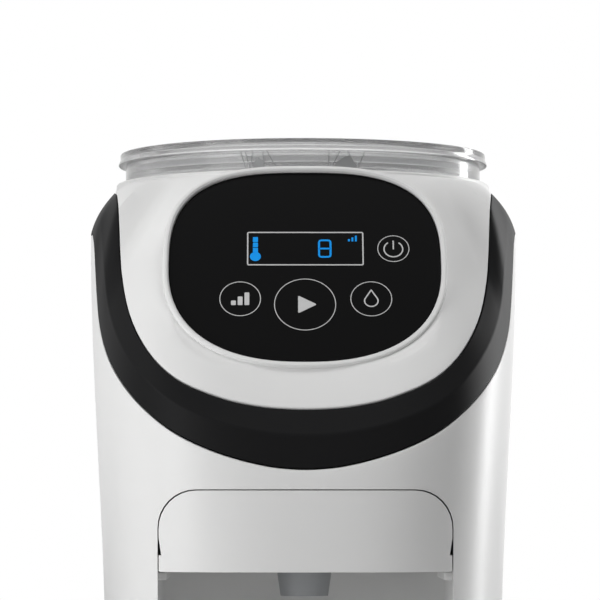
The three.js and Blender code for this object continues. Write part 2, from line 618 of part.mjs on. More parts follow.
function mixPlans(from, to, share) {
  return {
    ...from,
    halfWidth: mix(from.halfWidth, to.halfWidth, share),
    front: mix(from.front, to.front, share),
    rear: mix(from.rear, to.rear, share),
  };
}

// Point of a plan outline at an angle from the front, turning towards +X
function planPoint(angle, plan) {
  const forward = Math.cos(angle) > 0;
  const reach = forward ? plan.front : plan.rear;
  const power = forward ? plan.frontPower : plan.rearPower;
  const across = (Math.abs(Math.sin(angle)) / plan.halfWidth) ** power;
  const along = (Math.abs(Math.cos(angle)) / reach) ** power;
  const radius = (across + along) ** (-1 / power);
  const y = -radius * Math.cos(angle);
  const forwardShare = Math.max(0, -y / plan.front);
  const eased = Math.hypot(forwardShare, TAPER_EASE_SHARE) - TAPER_EASE_SHARE;
  return new THREE.Vector2(radius * Math.sin(angle) * (1 - TAPER_SHARE * eased), y);
}

// Angle from the front as a share of a quarter turn, on either side
function quarterShare(angle) {
  const turned = Math.abs(Math.atan2(Math.sin(angle), Math.cos(angle)));
  return Math.min(1, turned / RIGHT_ANGLE);
}

function innerEdge(angle) {
  const place = planPoint(angle, SURROUND_PLAN);
  const rise = tableValue(INNER_RISE_SHARES, quarterShare(angle));
  return new THREE.Vector3(place.x, place.y, mix(COLLAR_FRONT_TOP_Z, COLLAR_SIDE_TOP_Z, rise));
}

function outerEdge(angle) {
  const place = planPoint(angle, COLLAR_PLAN);
  const rise = tableValue(OUTER_RISE_SHARES, quarterShare(angle));
  return new THREE.Vector3(place.x, place.y, mix(COLLAR_FRONT_BOTTOM_Z, COLLAR_SIDE_BOTTOM_Z, rise));
}

function deckEdge(angle) {
  if (Math.cos(angle) > 0) {
    return new THREE.Vector3(
      SURROUND_HALF_WIDTH * Math.sin(angle), -SURROUND_HALF_WIDTH * Math.cos(angle), DECK_Z,
    );
  }
  const place = planPoint(angle, SURROUND_PLAN);
  return new THREE.Vector3(place.x, place.y, DECK_Z);
}

// Point moved towards the axis and down
function inward(point, across, down) {
  const radius = Math.hypot(point.x, point.y);
  const scale = (radius - across) / radius;
  return new THREE.Vector3(point.x * scale, point.y * scale, point.z - down);
}

function bezier(from, control, to, share) {
  const first = from.clone().multiplyScalar((1 - share) * (1 - share));
  first.addScaledVector(control, 2 * share * (1 - share));
  return first.addScaledVector(to, share * share);
}

function loopAngles() {
  return Array.from({ length: LOOP_STEPS }, (_, step) => (FULL_TURN * step) / LOOP_STEPS);
}

// Solids

function toSolid(geometry) {
  const bare = geometry.clone();
  bare.deleteAttribute('normal');
  bare.deleteAttribute('uv');
  const merged = mergeVertices(bare, MERGE_TOLERANCE);
  return new wasm.Manifold(new wasm.Mesh({
    numProp: 3,
    vertProperties: new Float32Array(merged.attributes.position.array),
    triVerts: new Uint32Array(merged.index.array),
  }));
}

function toGeometry(solid) {
  const mesh = solid.getMesh();
  const geometry = new THREE.BufferGeometry();
  geometry.setAttribute('position', new THREE.BufferAttribute(new Float32Array(mesh.vertProperties), 3));
  geometry.setIndex(new THREE.BufferAttribute(new Uint32Array(mesh.triVerts), 1));
  return geometry;
}

function joined(...solids) {
  return solids.reduce((whole, next) => whole.add(next));
}

function cut(solid, ...tools) {
  return tools.reduce((whole, tool) => whole.subtract(tool), solid);
}

function block(x0, x1, y0, y1, z0, z1) {
  const geometry = new THREE.BoxGeometry(x1 - x0, y1 - y0, z1 - z0);
  geometry.translate((x0 + x1) / 2, (y0 + y1) / 2, (z0 + z1) / 2);
  return toSolid(geometry);
}

function disc(radius, x, y, z0, z1, steps = SMALL_STEPS) {
  const geometry = new THREE.CylinderGeometry(radius, radius, z1 - z0, steps);
  geometry.rotateX(RIGHT_ANGLE);
  geometry.translate(x, y, (z0 + z1) / 2);
  return toSolid(geometry);
}

function rodAlongX(radius, x0, x1, y, z) {
  const geometry = new THREE.CylinderGeometry(radius, radius, x1 - x0, SMALL_STEPS);
  geometry.rotateZ(RIGHT_ANGLE);
  geometry.translate((x0 + x1) / 2, y, z);
  return toSolid(geometry);
}

function rodAlongY(radius, x, y0, y1, z, steps = SMALL_STEPS) {
  const geometry = new THREE.CylinderGeometry(radius, radius, y1 - y0, steps);
  geometry.translate(x, (y0 + y1) / 2, z);
  return toSolid(geometry);
}

function prism(points, z0, z1) {
  const geometry = new THREE.ExtrudeGeometry(
    new THREE.Shape(points), { depth: z1 - z0, bevelEnabled: false },
  );
  geometry.translate(0, 0, z0);
  return toSolid(geometry);
}

// Solid of revolution about the vertical through x, y, from a closed outline of [radius, z]
function turned(outline, x = 0, y = 0, steps = ROUND_STEPS) {
  const points = outline.map(([radius, z]) => new THREE.Vector2(radius, z));
  if (THREE.ShapeUtils.area(points) < 0) points.reverse();
  points.push(points[0].clone());
  const geometry = new THREE.LatheGeometry(points, steps);
  geometry.rotateX(RIGHT_ANGLE);
  geometry.translate(x, y, 0);
  return toSolid(geometry);
}

// Solid through a stack of rings of points, closed below and above
function stack(rings) {
  const count = rings[0].length;
  const positions = rings.flat().flatMap((point) => [point.x, point.y, point.z]);
  const triangles = [];
  for (let ring = 0; ring + 1 < rings.length; ring += 1) {
    for (let step = 0; step < count; step += 1) {
      const next = (step + 1) % count;
      const low = ring * count;
      const high = low + count;
      triangles.push(low + step, low + next, high + next, low + step, high + next, high + step);
    }
  }
  const capCentre = (ring) => {
    const centre = ring.reduce((sum, point) => sum.add(point), new THREE.Vector3());
    centre.multiplyScalar(1 / count);
    positions.push(centre.x, centre.y, centre.z);
    return positions.length / 3 - 1;
  };
  const bottom = capCentre(rings[0]);
  const top = capCentre(rings[rings.length - 1]);
  const topStart = (rings.length - 1) * count;
  for (let step = 0; step < count; step += 1) {
    const next = (step + 1) % count;
    triangles.push(bottom, next, step, top, topStart + step, topStart + next);
  }
  return indexedSolid(positions, triangles);
}

// Closed band through sections that follow each other round a loop
function band(sections) {
  const count = sections[0].length;
  const positions = sections.flat().flatMap((point) => [point.x, point.y, point.z]);
  const triangles = [];
  sections.forEach((_, index) => {
    const here = index * count;
    const there = ((index + 1) % sections.length) * count;
    for (let step = 0; step < count; step += 1) {
      const next = (step + 1) % count;
      triangles.push(here + step, there + step, there + next, here + step, there + next, here + next);
    }
  });
  return indexedSolid(positions, triangles);
}

function indexedSolid(positions, triangles) {
  const geometry = new THREE.BufferGeometry();
  geometry.setAttribute('position', new THREE.BufferAttribute(new Float32Array(positions), 3));
  geometry.setIndex(triangles);
  return toSolid(geometry);
}

function hose(points) {
  const route = new THREE.CatmullRomCurve3(points, false, 'centripetal');
  const section = new THREE.Shape();
  section.absarc(0, 0, HOSE_RADIUS, 0, FULL_TURN);
  return toSolid(new THREE.ExtrudeGeometry(section, {
    steps: HOSE_STEPS, extrudePath: route, curveSegments: HOSE_SIDES / 2,
  }));
}

// Outlines in plan

function arcPoints(x, y, radius, from, to) {
  return Array.from({ length: CORNER_STEPS + 1 }, (_, step) => {
    const angle = mix(from, to, step / CORNER_STEPS);
    return new THREE.Vector2(x + radius * Math.cos(angle), y + radius * Math.sin(angle));
  });
}

function roundedBox(x0, x1, y0, y1, lowRadius, highRadius) {
  return [
    ...arcPoints(x1 - lowRadius, y0 + lowRadius, lowRadius, -RIGHT_ANGLE, 0),
    ...arcPoints(x1 - highRadius, y1 - highRadius, highRadius, 0, RIGHT_ANGLE),
    ...arcPoints(x0 + highRadius, y1 - highRadius, highRadius, RIGHT_ANGLE, 2 * RIGHT_ANGLE),
    ...arcPoints(x0 + lowRadius, y0 + lowRadius, lowRadius, 2 * RIGHT_ANGLE, 3 * RIGHT_ANGLE),
  ];
}

// Plan of the bottle bay: straight sides and a back with round corners
function bayOutline(inset, frontY) {
  const half = BAY_HALF_WIDTH - inset;
  const back = BAY_BACK_Y - inset;
  const corner = BAY_CORNER - inset;
  return [
    new THREE.Vector2(-half, frontY),
    new THREE.Vector2(half, frontY),
    ...arcPoints(half - corner, back - corner, corner, 0, RIGHT_ANGLE),
    ...arcPoints(corner - half, back - corner, corner, RIGHT_ANGLE, 2 * RIGHT_ANGLE),
  ];
}

// Control panel outline in the plane of the face, grown at the sides and at the top
function panelOutline(sideGrowth, topGrowth) {
  return Array.from({ length: PANEL_OUTLINE_STEPS }, (_, step) => {
    const angle = (FULL_TURN * step) / PANEL_OUTLINE_STEPS;
    const upper = Math.sin(angle) > 0;
    const power = upper ? PANEL_TOP_POWER : PANEL_BOTTOM_POWER;
    const width = PANEL_HALF_WIDTH + sideGrowth;
    const height = PANEL_HALF_HEIGHT + (upper ? topGrowth : sideGrowth);
    const across = (Math.abs(Math.cos(angle)) / width) ** power;
    const along = (Math.abs(Math.sin(angle)) / height) ** power;
    const radius = (across + along) ** (-1 / power);
    return new THREE.Vector2(radius * Math.cos(angle), radius * Math.sin(angle));
  });
}

// The frame of the slanted face: x across, y up the slope, z out of the face
function faceMatrix() {
  const centreZ = DECK_Z - (PANEL_TOP_MARGIN + PANEL_HALF_HEIGHT) * Math.cos(FACE_TILT);
  const centreY = -(SURROUND_HALF_WIDTH + (DECK_Z - centreZ) * FACE_TANGENT);
  const matrix = new THREE.Matrix4().makeRotationX(RIGHT_ANGLE - FACE_TILT);
  matrix.setPosition(0, centreY, centreZ);
  return matrix;
}

function onFace(solid) {
  return solid.transform(faceMatrix().toArray());
}

// Skin of the body

function skinSection(angle, inset) {
  const base = planPoint(angle, insetPlan(BASE_PLAN, inset));
  const waist = planPoint(angle, insetPlan(WAIST_PLAN, inset));
  const top = outerEdge(angle);
  const edge = inset > 0 ? inward(top, inset, COLLAR_BOTTOM_LIP_DROP) : top;
  const points = [];
  for (let level = 0; level < WAIST_LEVELS; level += 1) {
    const share = level / WAIST_LEVELS;
    const rise = smooth(share);
    points.push(new THREE.Vector3(
      mix(base.x, waist.x, rise), mix(base.y, waist.y, rise), mix(FOOT_HEIGHT, WAIST_Z, share),
    ));
  }
  for (let level = 0; level <= HEAD_LEVELS; level += 1) {
    const share = level / HEAD_LEVELS;
    const rise = smooth(share);
    points.push(new THREE.Vector3(
      mix(waist.x, edge.x, rise), mix(waist.y, edge.y, rise), mix(WAIST_Z, edge.z, share),
    ));
  }
  return points;
}

// Solid inside the skin of the body, moved in by an inset
function skinSolid(inset) {
  const sections = loopAngles().map((angle) => skinSection(angle, inset));
  return stack(sections[0].map((_, level) => sections.map((section) => section[level])));
}

function bodyWall() {
  return band(loopAngles().map((angle) => [
    ...skinSection(angle, 0), ...skinSection(angle, SHELL_WALL).reverse(),
  ]));
}

// Solid inside the lower body, which reaches back under the tank
function tubSolid(inset, z0, z1) {
  const levels = [z0, mix(z0, z1, 1 / 3), mix(z0, z1, 2 / 3), z1];
  return stack(levels.map((z) => {
    const share = smooth((z - FOOT_HEIGHT) / (WAIST_Z - FOOT_HEIGHT));
    const plan = insetPlan(mixPlans(TUB_BASE_PLAN, TUB_WAIST_PLAN, share), inset);
    return loopAngles().map((angle) => {
      const place = planPoint(angle, plan);
      return new THREE.Vector3(place.x, place.y, z);
    });
  }));
}

function frontHalf() {
  return block(
    -BODY_HALF_WIDTH - OVERRUN, BODY_HALF_WIDTH + OVERRUN,
    -BODY_FRONT - OVERRUN, SEAM_Y, -OVERRUN, LID_TOP_Z + OVERRUN,
  );
}

function rearHalf() {
  return block(
    -BODY_HALF_WIDTH - OVERRUN, BODY_HALF_WIDTH + OVERRUN,
    SEAM_Y + FIT, BODY_REAR + OVERRUN, -OVERRUN, LID_TOP_Z + OVERRUN,
  );
}

// Opening of the bottle bay in the front, as a solid that runs from front to back
function openingSolid(inset) {
  const outline = roundedBox(
    -BAY_HALF_WIDTH + inset, BAY_HALF_WIDTH - inset, OPENING_BOTTOM_Z + inset, OPENING_TOP_Z - inset,
    OPENING_BOTTOM_ROUND, OPENING_TOP_ROUND,
  );
  const geometry = new THREE.ExtrudeGeometry(new THREE.Shape(outline), {
    depth: BODY_FRONT + OVERRUN, bevelEnabled: false,
  });
  geometry.rotateX(RIGHT_ANGLE);
  return toSolid(geometry);
}

function screwBoss(spot) {
  const bottom = BASE_TOP_Z + FIT;
  const boss = disc(BOSS_RADIUS, spot.x, spot.y, bottom, bottom + BOSS_HEIGHT);
  const wall = Math.sign(spot.x) * BODY_HALF_WIDTH;
  const rib = block(
    Math.min(spot.x, wall), Math.max(spot.x, wall), spot.y - BOSS_RADIUS / 2, spot.y + BOSS_RADIUS / 2,
    bottom, bottom + BOSS_HEIGHT,
  );
  return joined(boss, rib);
}

function screwHole(spot) {
  return disc(
    SCREW_SHANK_RADIUS + SCREW_FIT, spot.x, spot.y, -OVERRUN, FOOT_HEIGHT + SCREW_LENGTH + OVERRUN / 2,
  );
}

function frontShell() {
  const bosses = [SCREW_SPOTS.base_screw_1, SCREW_SPOTS.base_screw_2].map((spot) => (
    cut(screwBoss(spot).intersect(skinSolid(SHELL_WALL / 2)), screwHole(spot))
  ));
  const wall = bodyWall().intersect(frontHalf());
  return joined(cut(wall, openingSolid(0)), ...bosses);
}

function ventSlots() {
  return Array.from({ length: VENT_COUNT }, (_, index) => block(
    -VENT_LENGTH / 2, VENT_LENGTH / 2,
    BODY_REAR - WAIST_REAR_INSET - SHELL_WALL - OVERRUN, BODY_REAR + OVERRUN,
    VENT_Z + index * VENT_PITCH, VENT_Z + index * VENT_PITCH + VENT_WIDTH,
  ));
}

function rearShell() {
  const tub = tubSolid(0, FOOT_HEIGHT, LEDGE_Z);
  const hollow = tubSolid(SHELL_WALL, FOOT_HEIGHT - OVERRUN, LEDGE_Z - LEDGE_THICKNESS);
  const head = bodyWall();
  const shell = cut(joined(head, tub.intersect(rearHalf())), hollow).intersect(rearHalf());
  const bosses = [SCREW_SPOTS.base_screw_3, SCREW_SPOTS.base_screw_4].map((spot) => (
    cut(screwBoss(spot).intersect(tubSolid(SHELL_WALL / 2, FOOT_HEIGHT, LEDGE_Z)), screwHole(spot))
  ));
  const inletHole = block(
    -INLET_HALF_WIDTH - FIT, INLET_HALF_WIDTH + FIT, INLET_FACE_Y - SHELL_WALL - OVERRUN, BODY_REAR + OVERRUN,
    INLET_Z - FIT, INLET_Z + INLET_HEIGHT + FIT,
  );
  const dockHole = disc(DOCK_RADIUS + FIT, 0, SPIGOT_Y, LEDGE_Z - DOCK_DEPTH, LEDGE_Z + OVERRUN, ROUND_STEPS);
  const standoffs = [-1, 1].map((side) => block(
    side * MAIN_BOARD_HALF_WIDTH - STANDOFF_INSET, side * MAIN_BOARD_HALF_WIDTH + STANDOFF_INSET,
    MAIN_BOARD_Y + BOARD_THICKNESS + FIT, HEAD_REAR - HEAD_WAIST_REAR_INSET - SHELL_WALL / 2,
    MAIN_BOARD_Z, MAIN_BOARD_Z + MAIN_BOARD_HEIGHT,
  ));
  return joined(cut(shell, inletHole, dockHole, ...ventSlots()), ...bosses, ...standoffs);
}

// Section of the collar's outside, from its outer edge up to its inner edge
function collarSkin(angle) {
  const share = quarterShare(angle);
  const gap = COLLAR_GAP;
  const top = inward(innerEdge(angle), -gap, gap);
  const bottom = inward(outerEdge(angle), 0, -gap);
  const { full, none } = RIDGE_SHARP_SHARES;
  const side = smooth((share - full) / (none - full));
  const out = mix(RIDGE_FRONT_SHARES.out, RIDGE_SIDE_SHARES.out, side);
  const down = mix(RIDGE_FRONT_SHARES.down, RIDGE_SIDE_SHARES.down, side);
  const ridge = new THREE.Vector3(
    mix(top.x, bottom.x, out), mix(top.y, bottom.y, out), mix(top.z, bottom.z, down),
  );
  const control = ridge.clone().multiplyScalar(2);
  control.addScaledVector(top, -1 / 2).addScaledVector(bottom, -1 / 2);
  return Array.from({ length: COLLAR_STEPS + 1 }, (_, step) => {
    const along = step / COLLAR_STEPS;
    const round = bezier(bottom, control, top, along);
    const sharp = along < 1 / 2
      ? bottom.clone().lerp(ridge, 2 * along) : ridge.clone().lerp(top, 2 * along - 1);
    return sharp.lerp(round, side);
  });
}

function collar() {
  return band(loopAngles().map((angle) => {
    const skin = collarSkin(angle);
    const back = skin.map((point, index) => inward(
      point, COLLAR_WALL, mix(COLLAR_BOTTOM_LIP_DROP, COLLAR_TOP_LIP_DROP, index / COLLAR_STEPS),
    ));
    return [...skin, ...back.reverse()];
  }));
}

// Section of the surround's outside, from the collar up to the deck and in to the hole
function surroundSkin(angle) {
  const low = innerEdge(angle);
  const deck = deckEdge(angle);
  const edge = inward(deck, 0, DECK_EDGE_ROUND);
  const reach = Math.hypot(low.x, low.y);
  const deckReach = Math.hypot(deck.x, deck.y);
  const cosine = Math.max(Math.cos(angle), TAPER_EASE_SHARE);
  const rise = (edge.z - low.z) * FACE_BEND_SHARE;
  const bendReach = Math.max(deckReach, reach - (rise * FACE_TANGENT) / cosine);
  const control = new THREE.Vector3(low.x * (bendReach / reach), low.y * (bendReach / reach), low.z + rise);
  const face = Array.from(
    { length: FACE_STEPS + 1 }, (_, step) => bezier(low, control, edge, step / FACE_STEPS),
  );
  const rim = inward(deck, DECK_EDGE_ROUND, 0);
  const hole = new THREE.Vector3(
    DECK_HOLE_RADIUS * Math.sin(angle), -DECK_HOLE_RADIUS * Math.cos(angle), DECK_Z,
  );
  return [...face, rim, hole];
}

function headSurround() {
  const skin = band(loopAngles().map((angle) => {
    const outside = surroundSkin(angle);
    const hole = outside[outside.length - 1];
    const inside = outside.slice(0, -1).map((point) => (
      inward(point, SURROUND_WALL, SURROUND_DECK_THICKNESS)
    ));
    const under = new THREE.Vector3(hole.x, hole.y, hole.z - SURROUND_DECK_THICKNESS);
    return [...outside, under, ...inside.slice(0, -1).reverse()];
  }));
  const deep = -BEZEL_DEPTH - OVERRUN;
  const pocketDepth = PANEL_THICKNESS + FIT;
  const seatDepth = pocketDepth + SEAT_THICKNESS;
  const through = onFace(prism(panelOutline(BEZEL_SIDE / 2, BEZEL_TOP / 2), deep, OVERRUN));
  const bezel = prism(panelOutline(BEZEL_SIDE, BEZEL_TOP), -BEZEL_DEPTH, BEZEL_PROUD);
  const pocket = prism(panelOutline(FIT, FIT), -pocketDepth, OVERRUN);
  const back = prism(panelOutline(-BEZEL_BACK_INSET, -BEZEL_BACK_INSET), deep, -seatDepth);
  const windowHole = block(
    -WINDOW_WIDTH / 2, WINDOW_WIDTH / 2, WINDOW_UP - WINDOW_HEIGHT / 2, WINDOW_UP + WINDOW_HEIGHT / 2,
    deep, OVERRUN,
  );
  const keyHoles = Object.values(TOUCH_KEY_SHARES).map((key) => touchDisc(key, FIT, deep, OVERRUN));
  const posts = boardCorners().map(([x, y]) => (
    disc(STANDOFF_RADIUS, x, y, -seatDepth - BOARD_STANDOFF, -seatDepth + SEAT_THICKNESS / 2)
  ));
  const frame = onFace(joined(cut(bezel, pocket, back, windowHole, ...keyHoles), ...posts));
  const well = disc(DECK_HOLE_RADIUS, 0, 0, 0, LID_TOP_Z + OVERRUN, LOOP_STEPS);
  return cut(joined(cut(skin, through), frame), well);
}

// Places on the slanted face that the board's standoffs take, near its corners
function boardCorners() {
  const x = BOARD_HALF_WIDTH - STANDOFF_INSET;
  const high = BOARD_TOP_UP - STANDOFF_INSET;
  const cornerInset = BOARD_CORNER - (BOARD_CORNER - STANDOFF_INSET) * Math.SQRT1_2;
  const lowX = BOARD_HALF_WIDTH - cornerInset;
  const low = BOARD_BOTTOM_UP + cornerInset;
  return [[-x, high], [x, high], [-lowX, low], [lowX, low]];
}

function controlPanel() {
  return onFace(prism(panelOutline(0, 0), -PANEL_THICKNESS, 0));
}

function boardDepth() {
  return PANEL_THICKNESS + FIT + SEAT_THICKNESS + BOARD_STANDOFF + FIT;
}

function panelBoard() {
  const outline = roundedBox(
    -BOARD_HALF_WIDTH, BOARD_HALF_WIDTH, BOARD_BOTTOM_UP, BOARD_TOP_UP, BOARD_CORNER, STANDOFF_RADIUS,
  );
  return onFace(prism(outline, -boardDepth() - BOARD_THICKNESS, -boardDepth()));
}

function displayModule() {
  return onFace(block(
    -WINDOW_WIDTH / 2 + FIT, WINDOW_WIDTH / 2 - FIT,
    WINDOW_UP - WINDOW_HEIGHT / 2 + FIT, WINDOW_UP + WINDOW_HEIGHT / 2 - FIT,
    -boardDepth() + FIT, -PANEL_THICKNESS - FIT,
  ));
}

// Round column behind a touch key, in the frame of the slanted face
function touchDisc(key, growth, z0, z1) {
  return disc(
    TOUCH_SPRING_RADIUS + growth, key.across * PANEL_HALF_WIDTH, key.up * PANEL_HALF_HEIGHT, z0, z1,
  );
}

function touchSpring(key) {
  return onFace(touchDisc(key, 0, -boardDepth() + FIT, -PANEL_THICKNESS - FIT));
}

// Powder side

function powderContainer() {
  const cup = turned([
    [HUB_HOLE_RADIUS, CONTAINER_BOTTOM_Z], [CONTAINER_RADIUS, CONTAINER_BOTTOM_Z],
    [CONTAINER_RADIUS, CONTAINER_TOP_Z], [CONTAINER_BORE_RADIUS, CONTAINER_TOP_Z],
    [CONTAINER_BORE_RADIUS, CONTAINER_FLOOR_TOP_Z],
    [HUB_HOLE_RADIUS, CONTAINER_FLOOR_TOP_Z],
  ], 0, 0, WIDE_STEPS);
  return cut(cup, dropHole(DROP_HALF_WIDTH));
}

function dropHole(halfWidth) {
  return block(
    -halfWidth, halfWidth, DROP_Y - halfWidth, DROP_Y + halfWidth,
    WELL_FLOOR_Z - WELL_FLOOR - OVERRUN, CONTAINER_FLOOR_TOP_Z + FIT,
  );
}

function meteringWheel() {
  const wheel = disc(WHEEL_RADIUS, 0, 0, WHEEL_Z, WHEEL_TOP_Z, WIDE_STEPS);
  const pitch = FULL_TURN / POCKET_COUNT;
  const half = (pitch * (1 - POCKET_GAP_SHARE)) / 2;
  const pockets = Array.from({ length: POCKET_COUNT }, (_, index) => {
    const centre = index * pitch;
    const rim = [-1, 0, 1].map((side) => polar(POCKET_OUTER_RADIUS, centre + side * half));
    const hub = [1, 0, -1].map((side) => polar(POCKET_INNER_RADIUS, centre + side * half));
    return prism([...rim, ...hub], WHEEL_Z - OVERRUN, WHEEL_TOP_Z + OVERRUN);
  });
  return cut(wheel, couplingHole(), ...pockets);
}

function polar(radius, angle) {
  return new THREE.Vector2(radius * Math.cos(angle), radius * Math.sin(angle));
}

function couplingHole() {
  const half = (COUPLING_SIDE + COUPLING_FIT) / 2;
  return block(-half, half, -half, half, WELL_FLOOR_Z - OVERRUN, WELL_FLOOR_Z + COUPLING_LENGTH + SLIDE_FIT);
}

function powderScraper() {
  const z = WHEEL_TOP_Z + SLIDE_FIT;
  const plate = block(
    -SCRAPER_HALF_WIDTH, SCRAPER_HALF_WIDTH, -CONTAINER_RADIUS, -CONTAINER_RADIUS + SCRAPER_LENGTH,
    z, z + SCRAPER_THICKNESS,
  );
  const bore = disc(CONTAINER_BORE_RADIUS - FIT, 0, 0, z - FIT, z + SCRAPER_THICKNESS + FIT, WIDE_STEPS);
  return plate.intersect(bore);
}

function agitator() {
  const z = WHEEL_TOP_Z + FIT;
  const hub = disc(AGITATOR_HUB_RADIUS, 0, 0, z, z + AGITATOR_HUB_HEIGHT, ROUND_STEPS);
  const fins = Array.from({ length: FIN_COUNT }, (_, index) => {
    const foot = z + FIN_FOOT_LIFT;
    const bar = block(0, FIN_REACH, -FIN_THICKNESS / 2, FIN_THICKNESS / 2, foot, foot + FIN_BAR_HEIGHT);
    const post = block(
      FIN_REACH - FIN_POST_WIDTH, FIN_REACH, -FIN_THICKNESS / 2, FIN_THICKNESS / 2,
      foot, foot + FIN_POST_HEIGHT,
    );
    const turn = new THREE.Matrix4().makeRotationZ((FULL_TURN * index) / FIN_COUNT);
    return joined(bar, post).transform(turn.toArray());
  });
  return cut(joined(hub, ...fins), couplingHole());
}

function powderLid() {
  const under = CONTAINER_TOP_Z + FIT;
  const plug = CONTAINER_BORE_RADIUS - LID_PLUG_GAP;
  const dish = LID_TOP_Z - LID_DISH_DEPTH;
  const flare = LID_RADIUS + LID_FLARE;
  const groove = plug - SEAL_GROOVE_DEPTH;
  const grooveTop = under - LID_PLUG_DEPTH / 4;
  const grooveBottom = grooveTop - SEAL_HEIGHT - FIT;
  const shell = turned([
    [0, dish], [LID_DISH_RADIUS, dish], [LID_DISH_RIM_RADIUS, LID_TOP_Z],
    [LID_RADIUS - LID_EDGE_ROUND, LID_TOP_Z], [LID_RADIUS, LID_TOP_Z - LID_EDGE_ROUND],
    [LID_RADIUS, under + LID_FLARE_HEIGHT], [flare, under + LID_FLARE], [flare, under], [plug, under],
    [plug, grooveTop], [groove, grooveTop], [groove, grooveBottom], [plug, grooveBottom],
    [plug, under - LID_PLUG_DEPTH], [plug - LID_PLUG_WALL, under - LID_PLUG_DEPTH],
    [plug - LID_PLUG_WALL, LID_TOP_Z - LID_SKIN], [LID_DISH_RIM_RADIUS + LID_SKIN / 2, LID_TOP_Z - LID_SKIN],
    [LID_DISH_RADIUS + LID_SKIN / 2, dish - LID_SKIN], [0, dish - LID_SKIN],
  ], 0, 0, WIDE_STEPS);
  const handle = block(
    -LID_HANDLE_REACH, LID_HANDLE_REACH, -LID_HANDLE_WIDTH / 2, LID_HANDLE_WIDTH / 2,
    dish - LID_SKIN / 2, LID_TOP_Z - LID_HANDLE_DROP,
  );
  return joined(shell, handle);
}

function lidSeal() {
  const plug = CONTAINER_BORE_RADIUS - LID_PLUG_GAP;
  const top = CONTAINER_TOP_Z + FIT - LID_PLUG_DEPTH / 4 - FIT / 2;
  const inner = plug - SEAL_GROOVE_DEPTH + FIT;
  const outer = CONTAINER_BORE_RADIUS - FIT;
  return turned(
    [[inner, top - SEAL_HEIGHT], [outer, top - SEAL_HEIGHT], [outer, top], [inner, top]], 0, 0, WIDE_STEPS,
  );
}

function containerWell() {
  const bottom = WELL_FLOOR_Z - WELL_FLOOR;
  const hole = SHAFT_RADIUS + BUSHING_WALL + FIT + FIT;
  const cup = turned([
    [hole, bottom], [WELL_RADIUS, bottom], [WELL_RADIUS, WELL_TOP_Z], [WELL_BORE_RADIUS, WELL_TOP_Z],
    [WELL_BORE_RADIUS, WELL_FLOOR_Z], [hole, WELL_FLOOR_Z],
  ], 0, 0, WIDE_STEPS);
  const posts = [[-1, -1], [1, -1], [-1, 1], [1, 1]].map(([x, y]) => disc(
    WELL_POST_RADIUS, x * WELL_POST_X, y * WELL_POST_Y, PLATE_TOP_Z + FIT, bottom + WELL_FLOOR / 2,
  ));
  return joined(cut(cup, dropHole(DROP_HALF_WIDTH)), ...posts);
}

function powderChute() {
  const top = WELL_FLOOR_Z - WELL_FLOOR - FIT;
  const square = (half, z0, z1) => block(-half, half, DROP_Y - half, DROP_Y + half, z0, z1);
  const flangeZ = PLATE_TOP_Z + FIT;
  const flange = square(CHUTE_HALF_WIDTH + CHUTE_FLANGE, flangeZ, flangeZ + CHUTE_FLANGE_THICKNESS);
  const tube = square(CHUTE_HALF_WIDTH, PLATE_Z, top);
  return cut(joined(tube, flange), square(CHUTE_HALF_WIDTH - CHUTE_WALL, PLATE_Z - OVERRUN, top + OVERRUN));
}

// Drive

// Outline of a spur gear with straight-flanked teeth, its first tooth centred on +X
function gearOutline(teeth) {
  const pitch = (GEAR_MODULE * teeth) / 2;
  const root = pitch - GEAR_MODULE * TOOTH_SHARES.dedendum;
  const tip = pitch + TOOTH_ADDENDUM;
  return Array.from({ length: teeth }, (_, tooth) => {
    const centre = (FULL_TURN * tooth) / teeth;
    const flank = (radius, halfShare, side) => (
      polar(radius, centre + (side * GEAR_MODULE * halfShare) / radius)
    );
    return [
      flank(root, TOOTH_SHARES.rootHalf, -1), flank(pitch, TOOTH_SHARES.pitchHalf, -1),
      flank(tip, TOOTH_SHARES.tipHalf, -1), flank(tip, TOOTH_SHARES.tipHalf, 1),
      flank(pitch, TOOTH_SHARES.pitchHalf, 1), flank(root, TOOTH_SHARES.rootHalf, 1),
    ];
  }).flat();
}

function outputGear() {
  const gear = prism(gearOutline(GEAR_TEETH), GEAR_Z, GEAR_Z + GEAR_THICKNESS);
  const stub = disc(STUB_RADIUS, 0, 0, PLATE_Z, GEAR_Z + GEAR_THICKNESS / 2);
  const shaft = disc(SHAFT_RADIUS, 0, 0, GEAR_Z + GEAR_THICKNESS / 2, WELL_FLOOR_Z);
  const half = COUPLING_SIDE / 2;
  const coupling = block(-half, half, -half, half, WELL_FLOOR_Z - FIT, WELL_FLOOR_Z + COUPLING_LENGTH);
  return joined(gear, stub, shaft, coupling);
}

function outputBushing() {
  const inner = SHAFT_RADIUS + FIT;
  const outer = inner + BUSHING_WALL;
  const z = GEARBOX_TOP_Z - GEARBOX_WALL;
  return turned(
    [[inner, z], [outer, z], [outer, WELL_FLOOR_Z - FIT], [inner, WELL_FLOOR_Z - FIT]], 0, 0, SMALL_STEPS,
  );
}

function gearboxHousing() {
  const z0 = PLATE_TOP_Z + FIT;
  const z1 = GEARBOX_TOP_Z;
  const outline = (inset) => roundedBox(
    -GEARBOX_HALF_WIDTH + inset, GEARBOX_HALF_WIDTH - inset, GEARBOX_FRONT_Y + inset, GEARBOX_REAR_Y - inset,
    GEARBOX_CORNER - inset, GEARBOX_CORNER - inset,
  );
  const hollow = prism(outline(GEARBOX_WALL), z0 - OVERRUN, z1 - GEARBOX_WALL);
  const hole = disc(SHAFT_RADIUS + BUSHING_WALL + FIT + FIT, 0, 0, z0, z1 + OVERRUN);
  return cut(prism(outline(0), z0, z1), hollow, hole);
}

